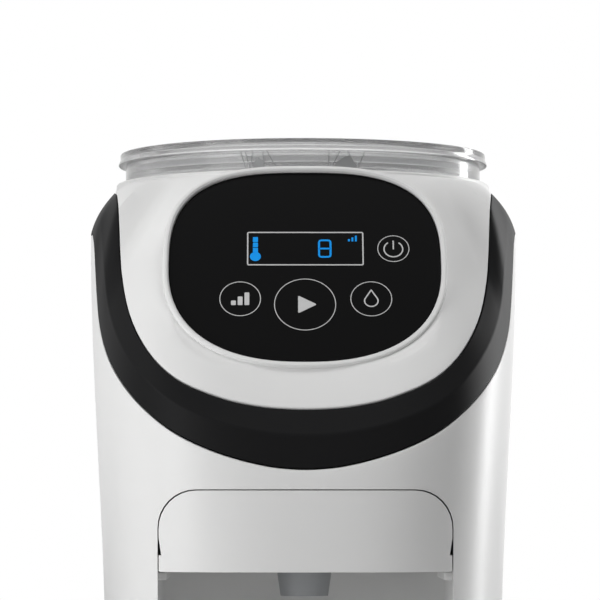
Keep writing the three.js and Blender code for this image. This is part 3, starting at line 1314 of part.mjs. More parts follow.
function motorPinion() {
  const z0 = GEAR_Z - PINION_EXTRA;
  const z1 = GEAR_Z + GEAR_THICKNESS + PINION_EXTRA;
  const shaft = disc(MOTOR_SHAFT_RADIUS, 0, MOTOR_Y, PLATE_Z - MOTOR_SHAFT_DEPTH, z0 + PINION_EXTRA);
  const gear = prism(gearOutline(PINION_TEETH), z0, z1).translate([0, MOTOR_Y, 0]);
  return joined(shaft, gear);
}

function driveMotor() {
  const top = PLATE_Z - FIT;
  const bottom = top - MOTOR_LENGTH;
  const bore = MOTOR_SHAFT_RADIUS + FIT;
  return turned([
    [0, bottom - MOTOR_CAP_LENGTH], [MOTOR_CAP_RADIUS, bottom - MOTOR_CAP_LENGTH], [MOTOR_CAP_RADIUS, bottom],
    [MOTOR_RADIUS, bottom], [MOTOR_RADIUS, top], [bore, top],
    [bore, top - MOTOR_SHAFT_DEPTH - FIT], [0, top - MOTOR_SHAFT_DEPTH - FIT],
  ], 0, MOTOR_Y);
}

function mechanismPlate() {
  const slab = block(
    -BODY_HALF_WIDTH, BODY_HALF_WIDTH, -BODY_FRONT, PLATE_REAR_Y, PLATE_Z, PLATE_TOP_Z,
  );
  const chute = CHUTE_HALF_WIDTH + FIT;
  return cut(
    slab.intersect(skinSolid(SHELL_WALL + FIT)),
    block(-chute, chute, DROP_Y - chute, DROP_Y + chute, PLATE_Z - OVERRUN, PLATE_TOP_Z + OVERRUN),
    disc(NOZZLE_RADIUS + FIT, 0, NOZZLE_Y, PLATE_Z - OVERRUN, PLATE_TOP_Z + OVERRUN),
    disc(STUB_RADIUS + FIT, 0, 0, PLATE_Z - OVERRUN, PLATE_TOP_Z + OVERRUN),
    disc(MOTOR_SHAFT_RADIUS + FIT, 0, MOTOR_Y, PLATE_Z - OVERRUN, PLATE_TOP_Z + OVERRUN),
    disc(HOSE_RADIUS + SLIDE_FIT * 2, HOSE_HOLE_X, HOSE_HOLE_Y, PLATE_Z - OVERRUN, PLATE_TOP_Z + OVERRUN),
  );
}

// Bottle bay

function bayLiner() {
  const bottom = BASE_TOP_Z + FIT;
  const top = PLATE_Z - FIT;
  const front = -BODY_FRONT - OVERRUN;
  const outside = prism(bayOutline(-BAY_WALL, front), bottom, top).intersect(skinSolid(SHELL_WALL + FIT));
  const inside = prism(bayOutline(0, front - OVERRUN), BAY_FLOOR_TOP_Z, top + OVERRUN);
  const railTop = DRAWER_BOTTOM_Z - FIT;
  const rails = [-1, 1].map((side) => {
    const wall = side * (BAY_HALF_WIDTH + BAY_WALL / 2);
    const lip = side * (BAY_HALF_WIDTH - RAIL_WIDTH);
    return block(
      Math.min(wall, lip), Math.max(wall, lip), RAIL_FRONT_Y, RAIL_REAR_Y, railTop - RAIL_HEIGHT, railTop,
    );
  });
  const guides = [-1, 1].map((side) => {
    const near = side * (STAND_ARM_HALF_WIDTH + SLIDE_FIT);
    const far = near + side * STAND_GUIDE_WIDTH;
    return block(
      Math.min(near, far), Math.max(near, far), BAY_BACK_Y - STAND_GUIDE_DEPTH, BAY_BACK_Y + BAY_WALL / 2,
      STAND_Z, STAND_GUIDE_TOP_Z,
    );
  });
  return joined(cut(outside, inside), ...rails, ...guides);
}

function funnelCover() {
  const top = OPENING_TOP_Z - SLIDE_FIT;
  const front = -BODY_FRONT - OVERRUN;
  const floorTop = DRAWER_BOTTOM_Z + DRAWER_FLOOR;
  const outside = prism(bayOutline(SLIDE_FIT, front), DRAWER_BOTTOM_Z, top)
    .intersect(skinSolid(0)).intersect(openingSolid(SLIDE_FIT));
  const hollow = prism(bayOutline(SLIDE_FIT + BAY_WALL, front), floorTop, top + OVERRUN)
    .intersect(skinSolid(SHELL_WALL));
  const lowSides = block(
    -BAY_HALF_WIDTH, BAY_HALF_WIDTH, -BODY_FRONT + DRAWER_FRONT_DEPTH, BAY_BACK_Y + OVERRUN,
    floorTop + FUNNEL_SEAT_HEIGHT, top + OVERRUN,
  );
  const seatTop = floorTop + FUNNEL_SEAT_HEIGHT;
  const seatRoot = DRAWER_BOTTOM_Z + DRAWER_FLOOR / 2;
  const coneShare = (seatTop - SPOUT_TOP_Z) / (FUNNEL_TOP_Z - FUNNEL_RIM_HEIGHT - SPOUT_TOP_Z);
  const inner = mix(SPOUT_RADIUS, FUNNEL_MOUTH_RADIUS, coneShare) + FUNNEL_SEAT_GAP;
  const outer = inner + FUNNEL_SEAT_WIDTH;
  const seat = turned(
    [[inner, seatRoot], [outer, seatRoot], [outer, seatTop], [inner, seatTop]], 0, BOTTLE_Y,
  );
  const hole = disc(
    SPOUT_RADIUS + SLIDE_FIT, 0, BOTTLE_Y, DRAWER_BOTTOM_Z - OVERRUN, floorTop + FIT, ROUND_STEPS,
  );
  return cut(joined(cut(outside, hollow, lowSides), seat), hole);
}

function mixingFunnel() {
  const rim = FUNNEL_TOP_Z - FUNNEL_RIM_HEIGHT;
  const mouth = FUNNEL_MOUTH_RADIUS - FUNNEL_WALL;
  return turned([
    [SPOUT_TIP_RADIUS, SPOUT_BOTTOM_Z], [SPOUT_RADIUS, SPOUT_TOP_Z], [FUNNEL_MOUTH_RADIUS, rim],
    [FUNNEL_MOUTH_RADIUS, FUNNEL_TOP_Z], [mouth, FUNNEL_TOP_Z], [mouth, rim + FUNNEL_WALL / 2],
    [SPOUT_RADIUS - FUNNEL_WALL, SPOUT_TOP_Z + FUNNEL_WALL / 2],
    [SPOUT_TIP_RADIUS - FUNNEL_WALL, SPOUT_BOTTOM_Z],
  ], 0, BOTTLE_Y);
}

function waterNozzle() {
  const flangeZ = PLATE_TOP_Z + FIT;
  const bottom = PLATE_Z - NOZZLE_DROP;
  const top = PLATE_TOP_Z + NOZZLE_RISE;
  return turned([
    [NOZZLE_BORE_RADIUS, bottom], [NOZZLE_RADIUS, bottom], [NOZZLE_RADIUS, flangeZ],
    [NOZZLE_FLANGE_RADIUS, flangeZ], [NOZZLE_FLANGE_RADIUS, flangeZ + NOZZLE_FLANGE_THICKNESS],
    [NOZZLE_RADIUS, flangeZ + NOZZLE_FLANGE_THICKNESS], [NOZZLE_RADIUS, top], [NOZZLE_BORE_RADIUS, top],
  ], 0, NOZZLE_Y, SMALL_STEPS);
}

function dripTray() {
  const front = -BODY_FRONT - OVERRUN;
  const outside = prism(bayOutline(SLIDE_FIT, front), TRAY_BOTTOM_Z, TRAY_TOP_Z).intersect(skinSolid(0));
  const hollow = bayOutline(SLIDE_FIT + TRAY_WALL, front);
  const inside = prism(hollow, TRAY_BOTTOM_Z + TRAY_FLOOR, TRAY_TOP_Z + OVERRUN)
    .intersect(skinSolid(TRAY_WALL));
  return cut(outside.intersect(openingSolid(SLIDE_FIT)), inside);
}

function dripGrille() {
  const top = GRILLE_Z + GRILLE_THICKNESS;
  const outline = bayOutline(SLIDE_FIT * 2, -BODY_FRONT - OVERRUN);
  const plate = prism(outline, GRILLE_Z, top).intersect(skinSolid(SLIDE_FIT));
  const slots = Array.from({ length: GRILLE_SLOT_COUNT }, (_, index) => {
    const x = (index - (GRILLE_SLOT_COUNT - 1) / 2) * GRILLE_SLOT_PITCH;
    return block(
      x - GRILLE_SLOT_WIDTH / 2, x + GRILLE_SLOT_WIDTH / 2,
      -BODY_FRONT + WAIST_INSET + GRILLE_SLOT_MARGIN, BAY_BACK_Y - GRILLE_SLOT_MARGIN,
      GRILLE_Z - OVERRUN, top + OVERRUN,
    );
  });
  return cut(plate, ...slots);
}

function bottleStand() {
  const plate = disc(STAND_RADIUS, 0, BOTTLE_Y, STAND_Z, STAND_Z + STAND_THICKNESS, ROUND_STEPS);
  const half = STAND_ARM_HALF_WIDTH;
  const back = BAY_BACK_Y - FIT;
  const arm = block(-half, half, BOTTLE_Y + STAND_RADIUS / 2, back, STAND_Z, STAND_Z + STAND_THICKNESS);
  const upright = block(
    -half, half, back - STAND_GUIDE_DEPTH, back, STAND_Z, STAND_Z + STAND_THICKNESS + STAND_ARM_HEIGHT,
  );
  return joined(plate, arm, upright);
}

// Base

function basePlate() {
  const outline = loopAngles().map((angle) => {
    const plan = Math.cos(angle) > 0 ? BASE_PLAN : TUB_BASE_PLAN;
    return planPoint(angle, insetPlan(plan, SHELL_WALL + BASE_EDGE_GAP));
  });
  const plate = prism(outline, FOOT_HEIGHT, BASE_TOP_Z);
  const recesses = Object.values(FOOT_SPOTS).map((spot) => (
    disc(FOOT_RADIUS + FIT, spot.x, spot.y, 0, FOOT_HEIGHT + FOOT_RECESS, ROUND_STEPS)
  ));
  const sinkTop = FOOT_HEIGHT + SCREW_HEAD_HEIGHT + FIT;
  const screws = Object.values(SCREW_SPOTS).map((spot) => joined(
    screwHole(spot), disc(SCREW_HEAD_RADIUS + SCREW_FIT, spot.x, spot.y, 0, sinkTop),
  ));
  return cut(plate, ...recesses, ...screws);
}

function foot(spot) {
  return disc(FOOT_RADIUS, spot.x, spot.y, 0, FOOT_HEIGHT + FOOT_RECESS - FIT, ROUND_STEPS);
}

function baseScrew(spot) {
  const headTop = FOOT_HEIGHT + SCREW_HEAD_HEIGHT;
  const head = disc(SCREW_HEAD_RADIUS, spot.x, spot.y, FOOT_HEIGHT + FIT, headTop);
  const shank = disc(SCREW_SHANK_RADIUS, spot.x, spot.y, FOOT_HEIGHT + FIT * 2, FOOT_HEIGHT + SCREW_LENGTH);
  return joined(head, shank);
}

// Water side

// Plan of the tank, flush with the lower body at the back and straight in front
function tankOutline(inset) {
  const plan = insetPlan(TUB_WAIST_PLAN, TANK_INSET + inset);
  const front = TANK_FRONT_Y + inset;
  const from = RIGHT_ANGLE + Math.atan2(front, plan.halfWidth) + TANK_CORNER_TURN;
  const rear = Array.from({ length: TANK_STEPS + 1 }, (_, step) => (
    planPoint(mix(from, FULL_TURN - from, step / TANK_STEPS), plan)
  ));
  const side = rear[0].x;
  const chamfer = Math.abs(side) * TANK_CHAMFER_SHARE;
  return [new THREE.Vector2(chamfer - side, front), new THREE.Vector2(side - chamfer, front), ...rear];
}

function waterTank() {
  const outside = prism(tankOutline(0), TANK_BOTTOM_Z, TANK_TOP_Z);
  const inside = prism(tankOutline(TANK_WALL), TANK_BOTTOM_Z + TANK_FLOOR, TANK_TOP_Z + OVERRUN);
  const bridge = outside.intersect(block(
    -BODY_HALF_WIDTH, BODY_HALF_WIDTH, TANK_BRIDGE_Y, BODY_REAR, TANK_SEAT_Z, TANK_TOP_Z,
  ));
  const ears = [-1, 1].map((side) => {
    const near = side * (BARREL_HALF_LENGTH + EAR_GAP);
    const far = near + side * EAR_WIDTH;
    return block(
      Math.min(near, far), Math.max(near, far), PIN_Y - BARREL_RADIUS, PIN_Y + BARREL_RADIUS,
      TANK_SEAT_Z, PIN_Z + BARREL_RADIUS,
    );
  });
  const pinHole = rodAlongX(PIN_RADIUS + FIT, -BODY_HALF_WIDTH, BODY_HALF_WIDTH, PIN_Y, PIN_Z);
  const upright = (radius, z0, z1) => disc(radius, 0, SPIGOT_Y, z0, z1, ROUND_STEPS);
  const spigotBottom = TANK_BOTTOM_Z - SPIGOT_LENGTH;
  const seatTop = spigotBottom + SPIGOT_SEAT_HEIGHT;
  const spigot = upright(SPIGOT_RADIUS, spigotBottom, TANK_BOTTOM_Z + TANK_FLOOR / 2);
  const bore = upright(SPIGOT_BORE_RADIUS, seatTop, TANK_BOTTOM_Z + TANK_FLOOR + OVERRUN);
  const seat = upright(SPIGOT_SEAT_RADIUS, spigotBottom - OVERRUN, TANK_BOTTOM_Z);
  return cut(joined(cut(outside, inside), bridge, ...ears, spigot), pinHole, bore, seat);
}

function tankValve() {
  const bottom = TANK_BOTTOM_Z - SPIGOT_LENGTH + SPIGOT_SEAT_HEIGHT + FIT;
  const head = disc(VALVE_RADIUS, 0, SPIGOT_Y, bottom, bottom + VALVE_HEIGHT);
  const stem = disc(VALVE_STEM_RADIUS, 0, SPIGOT_Y, bottom + VALVE_HEIGHT / 2, bottom + VALVE_STEM_LENGTH);
  return joined(head, stem);
}

function tankLid() {
  const top = TANK_LID_Z + TANK_LID_THICKNESS;
  const plate = prism(tankOutline(0), TANK_LID_Z, top).intersect(block(
    -BODY_HALF_WIDTH, BODY_HALF_WIDTH, TANK_FRONT_Y - OVERRUN, PIN_Y, TANK_LID_Z - FIT, top + FIT,
  ));
  const barrel = rodAlongX(BARREL_RADIUS, -BARREL_HALF_LENGTH, BARREL_HALF_LENGTH, PIN_Y, PIN_Z);
  const web = block(
    -BARREL_HALF_LENGTH, BARREL_HALF_LENGTH, PIN_Y - BARREL_RADIUS, PIN_Y, TANK_LID_Z, PIN_Z,
  );
  const earSpace = [-1, 1].map((side) => {
    const near = side * BARREL_HALF_LENGTH;
    const far = near + side * (EAR_WIDTH + EAR_GAP * 2);
    const reach = Math.hypot(BARREL_RADIUS, PIN_LIFT);
    return block(
      Math.min(near, far), Math.max(near, far), PIN_Y - reach - EAR_GAP, PIN_Y + OVERRUN,
      TANK_LID_Z - OVERRUN, top + OVERRUN,
    );
  });
  const gripY = TANK_FRONT_Y + LID_GRIP_INSET;
  const grip = block(
    -LID_GRIP_HALF_WIDTH, LID_GRIP_HALF_WIDTH, gripY, gripY + LID_GRIP_DEPTH,
    top - TANK_LID_THICKNESS / 2, top + LID_GRIP_HEIGHT,
  );
  const pinHole = rodAlongX(PIN_RADIUS + FIT, -BODY_HALF_WIDTH, BODY_HALF_WIDTH, PIN_Y, PIN_Z);
  return cut(joined(cut(plate, ...earSpace), web, barrel, grip), pinHole);
}

function tankLidPin() {
  return rodAlongX(PIN_RADIUS, -PIN_HALF_LENGTH, PIN_HALF_LENGTH, PIN_Y, PIN_Z);
}

function tankDock() {
  const top = LEDGE_Z - FIT;
  const floor = LEDGE_Z - DOCK_DEPTH;
  const flangeTop = LEDGE_Z - LEDGE_THICKNESS - FIT;
  return turned([
    [DOCK_BARB_BORE_RADIUS, floor - DOCK_BARB_LENGTH], [DOCK_BARB_RADIUS, floor - DOCK_BARB_LENGTH],
    [DOCK_BARB_RADIUS, floor], [DOCK_RADIUS, floor], [DOCK_RADIUS, flangeTop - DOCK_FLANGE_THICKNESS],
    [DOCK_FLANGE_RADIUS, flangeTop - DOCK_FLANGE_THICKNESS], [DOCK_FLANGE_RADIUS, flangeTop],
    [DOCK_RADIUS, flangeTop], [DOCK_RADIUS, top], [DOCK_BORE_RADIUS, top],
    [DOCK_BORE_RADIUS, floor + DOCK_FLOOR], [DOCK_BARB_BORE_RADIUS, floor + DOCK_FLOOR],
  ], 0, SPIGOT_Y);
}

function dockSeal() {
  const top = LEDGE_Z - DOCK_SEAL_DROP;
  const inner = SPIGOT_RADIUS + FIT;
  const outer = DOCK_BORE_RADIUS - FIT;
  const bottom = top - DOCK_SEAL_HEIGHT;
  return turned([[inner, bottom], [outer, bottom], [outer, top], [inner, top]], 0, SPIGOT_Y);
}

// A lying cylinder on two saddles, with a port standing up near each end
function lyingTank(x, y0, y1, radius, lift) {
  const floor = BASE_TOP_Z + FIT;
  const z = floor + lift;
  const ports = [y0 + PORT_INSET, y1 - PORT_INSET].map((y) => disc(PORT_RADIUS, x, y, z, PORT_TOP_Z));
  const saddles = [y0 + SADDLE_LENGTH, y1 - SADDLE_LENGTH * 2].map((y) => (
    block(x - SADDLE_HALF_WIDTH, x + SADDLE_HALF_WIDTH, y, y + SADDLE_LENGTH, floor, z)
  ));
  return joined(rodAlongY(radius, x, y0, y1, z, ROUND_STEPS), ...ports, ...saddles);
}

function waterPump() {
  return lyingTank(PUMP_X, PUMP_FRONT_Y, PUMP_REAR_Y, PUMP_RADIUS, PUMP_LIFT);
}

function waterHeater() {
  return lyingTank(HEATER_X, HEATER_FRONT_Y, HEATER_REAR_Y, HEATER_RADIUS, HEATER_LIFT);
}

function hoseTankToPump() {
  const start = LEDGE_Z - DOCK_DEPTH - DOCK_BARB_LENGTH - FIT;
  const end = PORT_TOP_Z + FIT;
  const pumpY = PUMP_REAR_Y - PORT_INSET;
  const drop = HOSE_RADIUS * 2;
  return hose([
    new THREE.Vector3(0, SPIGOT_Y, start),
    new THREE.Vector3(0, SPIGOT_Y, start - drop),
    new THREE.Vector3(mix(0, PUMP_X, 1 / 4), mix(SPIGOT_Y, pumpY, 1 / 4), start - drop * 2),
    new THREE.Vector3(mix(0, PUMP_X, 3 / 4), mix(SPIGOT_Y, pumpY, 3 / 4), end + drop * 2),
    new THREE.Vector3(PUMP_X, pumpY, end + drop),
    new THREE.Vector3(PUMP_X, pumpY, end),
  ]);
}

function hosePumpToHeater() {
  const end = PORT_TOP_Z + FIT;
  const pumpY = PUMP_FRONT_Y + PORT_INSET;
  const heaterY = HEATER_REAR_Y - PORT_INSET;
  const rise = HOSE_RADIUS * 2;
  const high = end + rise * 3;
  return hose([
    new THREE.Vector3(PUMP_X, pumpY, end),
    new THREE.Vector3(PUMP_X, pumpY, end + rise),
    new THREE.Vector3(mix(PUMP_X, HEATER_X, 1 / 5), pumpY, high),
    new THREE.Vector3(mix(PUMP_X, HEATER_X, 4 / 5), heaterY, high),
    new THREE.Vector3(HEATER_X, heaterY, end + rise),
    new THREE.Vector3(HEATER_X, heaterY, end),
  ]);
}

function hoseHeaterToNozzle() {
  const start = PORT_TOP_Z + FIT;
  const heaterY = HEATER_FRONT_Y + PORT_INSET;
  const bend = HOSE_RADIUS * 3;
  const nozzleTop = PLATE_TOP_Z + NOZZLE_RISE + FIT;
  const high = nozzleTop + bend;
  const bends = HOSE_BEND_SHARES.map(({ across, along }) => (
    new THREE.Vector3(HOSE_HOLE_X * across, mix(HOSE_HOLE_Y, NOZZLE_Y, along), high)
  ));
  return hose([
    new THREE.Vector3(HEATER_X, heaterY, start),
    new THREE.Vector3(HEATER_X, heaterY, start + bend),
    new THREE.Vector3(HOSE_HOLE_X, HOSE_HOLE_Y, mix(start, PLATE_Z, 3 / 4)),
    new THREE.Vector3(HOSE_HOLE_X, HOSE_HOLE_Y, PLATE_Z - bend),
    new THREE.Vector3(HOSE_HOLE_X, HOSE_HOLE_Y, PLATE_TOP_Z + HOSE_RADIUS),
    new THREE.Vector3(HOSE_HOLE_X, HOSE_HOLE_Y - bend, high),
    ...bends,
    new THREE.Vector3(-bend, NOZZLE_Y, high),
    new THREE.Vector3(-HOSE_RADIUS / 2, NOZZLE_Y, high - HOSE_RADIUS),
    new THREE.Vector3(0, NOZZLE_Y, nozzleTop + HOSE_RADIUS),
    new THREE.Vector3(0, NOZZLE_Y, nozzleTop),
  ]);
}

// Electrics

function powerInlet() {
  const z1 = INLET_Z + INLET_HEIGHT;
  const body = block(
    -INLET_HALF_WIDTH, INLET_HALF_WIDTH, INLET_FACE_Y - INLET_DEPTH, INLET_FACE_Y, INLET_Z, z1,
  );
  const flangeY = INLET_FACE_Y - INLET_FLANGE_BACK;
  const flange = block(
    -INLET_HALF_WIDTH - INLET_FLANGE, INLET_HALF_WIDTH + INLET_FLANGE,
    flangeY, flangeY + INLET_FLANGE_THICKNESS, INLET_Z - INLET_FLANGE, z1 + INLET_FLANGE,
  );
  const middle = (INLET_Z + z1) / 2;
  const socket = block(
    -SOCKET_HALF_WIDTH, SOCKET_HALF_WIDTH, INLET_FACE_Y - SOCKET_DEPTH, INLET_FACE_Y + OVERRUN,
    middle - SOCKET_HEIGHT / 2, middle + SOCKET_HEIGHT / 2,
  );
  const root = INLET_FACE_Y - SOCKET_DEPTH;
  const pins = [-1, 1].map((side) => rodAlongY(
    SOCKET_PIN_RADIUS, side * SOCKET_PIN_SPACING, root - SOCKET_PIN_RADIUS, root + SOCKET_PIN_LENGTH, middle,
  ));
  return joined(cut(joined(body, flange), socket), ...pins);
}

function powerSupply() {
  const floor = BASE_TOP_Z + FIT;
  const boardZ = floor + SUPPLY_LEG_HEIGHT;
  const boardTop = boardZ + BOARD_THICKNESS;
  const board = block(
    -SUPPLY_HALF_WIDTH, SUPPLY_HALF_WIDTH, SUPPLY_FRONT_Y, SUPPLY_REAR_Y, boardZ, boardTop,
  );
  const legs = [-1, 1].flatMap((side) => [SUPPLY_FRONT_Y, SUPPLY_REAR_Y - SUPPLY_LEG_SIDE].map((y) => {
    const outer = side * SUPPLY_HALF_WIDTH;
    const inner = side * (SUPPLY_HALF_WIDTH - SUPPLY_LEG_SIDE);
    return block(Math.min(outer, inner), Math.max(outer, inner), y, y + SUPPLY_LEG_SIDE, floor, boardTop);
  }));
  const parts = SUPPLY_PART_SHARES.map((part) => block(
    (part.across - part.halfAcross) * SUPPLY_HALF_WIDTH, (part.across + part.halfAcross) * SUPPLY_HALF_WIDTH,
    SUPPLY_FRONT_Y + (part.along - part.halfAlong) * SUPPLY_LENGTH,
    SUPPLY_FRONT_Y + (part.along + part.halfAlong) * SUPPLY_LENGTH,
    boardTop - SUPPLY_PART_SINK, boardTop + part.rise * SUPPLY_PART_HEIGHT,
  ));
  return joined(board, ...legs, ...parts);
}

function mainBoard() {
  const board = block(
    -MAIN_BOARD_HALF_WIDTH, MAIN_BOARD_HALF_WIDTH, MAIN_BOARD_Y, MAIN_BOARD_Y + BOARD_THICKNESS,
    MAIN_BOARD_Z, MAIN_BOARD_Z + MAIN_BOARD_HEIGHT,
  );
  const chips = MAIN_CHIP_SHARES.map((chip) => block(
    (chip.across - chip.halfAcross) * MAIN_BOARD_HALF_WIDTH,
    (chip.across + chip.halfAcross) * MAIN_BOARD_HALF_WIDTH,
    MAIN_BOARD_Y - chip.depth * MAIN_CHIP_DEPTH, MAIN_BOARD_Y + SUPPLY_PART_SINK,
    MAIN_BOARD_Z + (chip.up - chip.halfUp) * MAIN_BOARD_HEIGHT,
    MAIN_BOARD_Z + (chip.up + chip.halfUp) * MAIN_BOARD_HEIGHT,
  ));
  return joined(board, ...chips);
}

// Assembly

const machine = new THREE.Group();

function place(name, solid, finish) {
  const mesh = new THREE.Mesh(toGeometry(solid), new THREE.MeshStandardMaterial(FINISHES[finish]));
  mesh.name = name;
  machine.add(mesh);
}

place('front_shell', frontShell(), 'white');
place('rear_shell', rearShell(), 'white');
place('collar', collar(), 'black');
place('head_surround', headSurround(), 'white');
place('control_panel', controlPanel(), 'glossBlack');
place('panel_board', panelBoard(), 'board');
place('display_module', displayModule(), 'glass');
Object.entries(TOUCH_KEY_SHARES).forEach(([name, key]) => {
  place(`touch_spring_${name}`, touchSpring(key), 'steel');
});
place('container_well', containerWell(), 'innerWhite');
place('mechanism_plate', mechanismPlate(), 'innerWhite');
place('gearbox_housing', gearboxHousing(), 'innerWhite');
place('output_gear', outputGear(), 'grey');
place('output_bushing', outputBushing(), 'brass');
place('motor_pinion', motorPinion(), 'brass');
place('drive_motor', driveMotor(), 'steel');
place('powder_chute', powderChute(), 'innerWhite');
place('water_nozzle', waterNozzle(), 'silicone');
place('bay_liner', bayLiner(), 'innerWhite');
place('base_plate', basePlate(), 'darkGrey');
Object.entries(FOOT_SPOTS).forEach(([name, spot]) => place(name, foot(spot), 'rubber'));
Object.entries(SCREW_SPOTS).forEach(([name, spot]) => place(name, baseScrew(spot), 'steel'));
place('main_board', mainBoard(), 'board');
place('power_supply', powerSupply(), 'board');
place('power_inlet', powerInlet(), 'darkGrey');
place('water_pump', waterPump(), 'darkGrey');
place('water_heater', waterHeater(), 'steel');
place('tank_dock', tankDock(), 'grey');
place('dock_seal', dockSeal(), 'silicone');
place('hose_tank_to_pump', hoseTankToPump(), 'silicone');
place('hose_pump_to_heater', hosePumpToHeater(), 'silicone');
place('hose_heater_to_nozzle', hoseHeaterToNozzle(), 'silicone');
place('water_tank', waterTank(), 'clear');
place('tank_lid', tankLid(), 'smoke');
place('tank_lid_pin', tankLidPin(), 'steel');
place('tank_valve', tankValve(), 'silicone');
place('powder_container', powderContainer(), 'smoke');
place('powder_scraper', powderScraper(), 'grey');
place('metering_wheel', meteringWheel(), 'grey');
place('agitator', agitator(), 'grey');
place('powder_lid', powderLid(), 'smoke');
place('lid_seal', lidSeal(), 'silicone');
place('funnel_cover', funnelCover(), 'white');
place('mixing_funnel', mixingFunnel(), 'grey');
place('drip_tray', dripTray(), 'white');
place('drip_grille', dripGrille(), 'steel');
place('bottle_stand', bottleStand(), 'white');

export default machine;
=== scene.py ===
"""Looks of a counter-top baby formula maker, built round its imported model.

Lengths in this file are millimetres, and every mesh is scaled to metres when it is made.
Lamps and the camera stand in metres. The machine faces -Y, and +Z is up.

FIT is the gap round a piece that stays put and SLIDE the gap round one that moves. FAR lies
past the machine on every side, and AHEAD in front of it.
"""

import logging
import math
from collections.abc import Callable, Iterable, Sequence
from dataclasses import dataclass, field, replace
from enum import Enum

import bmesh
import bpy
from mathutils import Matrix, Vector


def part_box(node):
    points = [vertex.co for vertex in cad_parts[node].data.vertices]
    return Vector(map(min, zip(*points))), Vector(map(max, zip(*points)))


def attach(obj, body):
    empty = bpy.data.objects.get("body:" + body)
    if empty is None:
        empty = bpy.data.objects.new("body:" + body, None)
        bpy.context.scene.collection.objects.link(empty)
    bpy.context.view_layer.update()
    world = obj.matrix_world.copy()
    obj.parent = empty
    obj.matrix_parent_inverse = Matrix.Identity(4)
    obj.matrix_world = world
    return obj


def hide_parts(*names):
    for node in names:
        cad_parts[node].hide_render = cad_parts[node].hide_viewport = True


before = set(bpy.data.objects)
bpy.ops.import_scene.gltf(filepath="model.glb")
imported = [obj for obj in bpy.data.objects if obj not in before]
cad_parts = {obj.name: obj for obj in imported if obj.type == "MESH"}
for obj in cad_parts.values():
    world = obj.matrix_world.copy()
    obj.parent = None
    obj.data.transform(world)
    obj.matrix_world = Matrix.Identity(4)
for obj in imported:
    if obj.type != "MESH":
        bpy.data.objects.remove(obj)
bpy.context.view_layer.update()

LOG = logging.getLogger("formula_maker")
MM = 0.001
TAU = 2 * math.pi
QUARTER = math.pi / 2
FIT = 0.3
SLIDE = 0.4
FAR = 200.0
AHEAD = -150.0


# Small mathematics


def mix(start: float, end: float, share: float) -> float:
    """Return the value at a share of the way from start to end."""
    return start + (end - start) * share


def smooth(share: float) -> float:
    """Return a share eased in and out, held between nought and one."""
    held = min(1.0, max(0.0, share))
    return held * held * (3 - 2 * held)


def table_value(rows: Sequence[tuple[float, float]], share: float) -> float:
    """Read a table on a smooth curve that never overshoots its rows.

    Args:
        rows: Pairs of share and value, in rising order.
        share: Where to read the table.

    Returns:
        The value at that share.
    """
    last = len(rows) - 1
    held = min(rows[last][0], max(rows[0][0], share))
    row = 0
    while row < last - 1 and held > rows[row + 1][0]:
        row += 1
    slopes = [(b[1] - a[1]) / (b[0] - a[0]) for a, b in zip(rows, rows[1:])]

    def tangent(index: int) -> float:
        """Return the slope of the curve at a row.

        Args:
            index: Number of the row.

        Returns:
            The slope.
        """
        if index in (0, last):
            return 0.0
        before, after = slopes[index - 1], slopes[index]
        return 0.0 if before * after <= 0 else 2 * before * after / (before + after)

    span = rows[row + 1][0] - rows[row][0]
    t = (held - rows[row][0]) / span
    bend = t * (1 - t) * (1 - t) * tangent(row) - t * t * (1 - t) * tangent(row + 1)
    return mix(rows[row][1], rows[row + 1][1], smooth(t)) + span * bend


def inward(point: Vector, across: float, down: float) -> Vector:
    """Move a point towards the vertical axis and down.

    Args:
        point: The point to move.
        across: Distance towards the axis.
        down: Distance down.

    Returns:
        The moved point.
    """
    radius = math.hypot(point.x, point.y)
    scale = (radius - across) / radius
    return Vector((point.x * scale, point.y * scale, point.z - down))


def bezier(start: Vector, control: Vector, end: Vector, share: float) -> Vector:
    """Return the point of a quadratic curve at a share of the way."""
    rest = 1 - share
    return start * rest * rest + control * (2 * share * rest) + end * share * share


def circle(steps: int) -> list[float]:
    """Return evenly spaced angles of a full turn."""
    return [TAU * step / steps for step in range(steps)]


# Closed solids as points and faces


@dataclass
class Solid:
    """A closed solid.

    Attributes:
        points: Corners, in millimetres.
        faces: Corner numbers of each face.
    """

    points: list[Vector] = field(default_factory=list)
    faces: list[tuple[int, ...]] = field(default_factory=list)

    def add(self, other: "Solid") -> "Solid":
        """Return both solids as one set of faces.

        Args:
            other: The other solid.

        Returns:
            The joined solid.
        """
        shift = len(self.points)
        faces = [tuple(i + shift for i in face) for face in other.faces]
        return Solid(self.points + other.points, self.faces + faces)

    def placed(self, matrix: Matrix) -> "Solid":
        """Return the solid moved by a matrix."""
        return Solid([matrix @ point for point in self.points], self.faces)


def loft_ring(sections: Sequence[Sequence[Vector]]) -> Solid:
    """Join closed sections that follow each other round a loop.

    Args:
        sections: Sections with the same number of points each.

    Returns:
        The closed band.
    """
    count = len(sections[0])
    faces = []
    for i in range(len(sections)):
        here, there = i * count, (i + 1) % len(sections) * count
        for j in range(count):
            k = (j + 1) % count
            faces.append((here + j, there + j, there + k, here + k))
    return Solid([p for section in sections for p in section], faces)


def loft_stack(rings: Sequence[Sequence[Vector]]) -> Solid:
    """Join rings from first to last and close both ends.

    Args:
        rings: Rings with the same number of points each.

    Returns:
        The closed solid.
    """
    count = len(rings[0])
    faces = [tuple(reversed(range(count)))]
    for i in range(len(rings) - 1):
        for j in range(count):
            k = (j + 1) % count
            faces.append((i * count + j, i * count + k, (i + 1) * count + k, (i + 1) * count + j))
    start = (len(rings) - 1) * count
    faces.append(tuple(range(start, start + count)))
    return Solid([p for ring in rings for p in ring], faces)


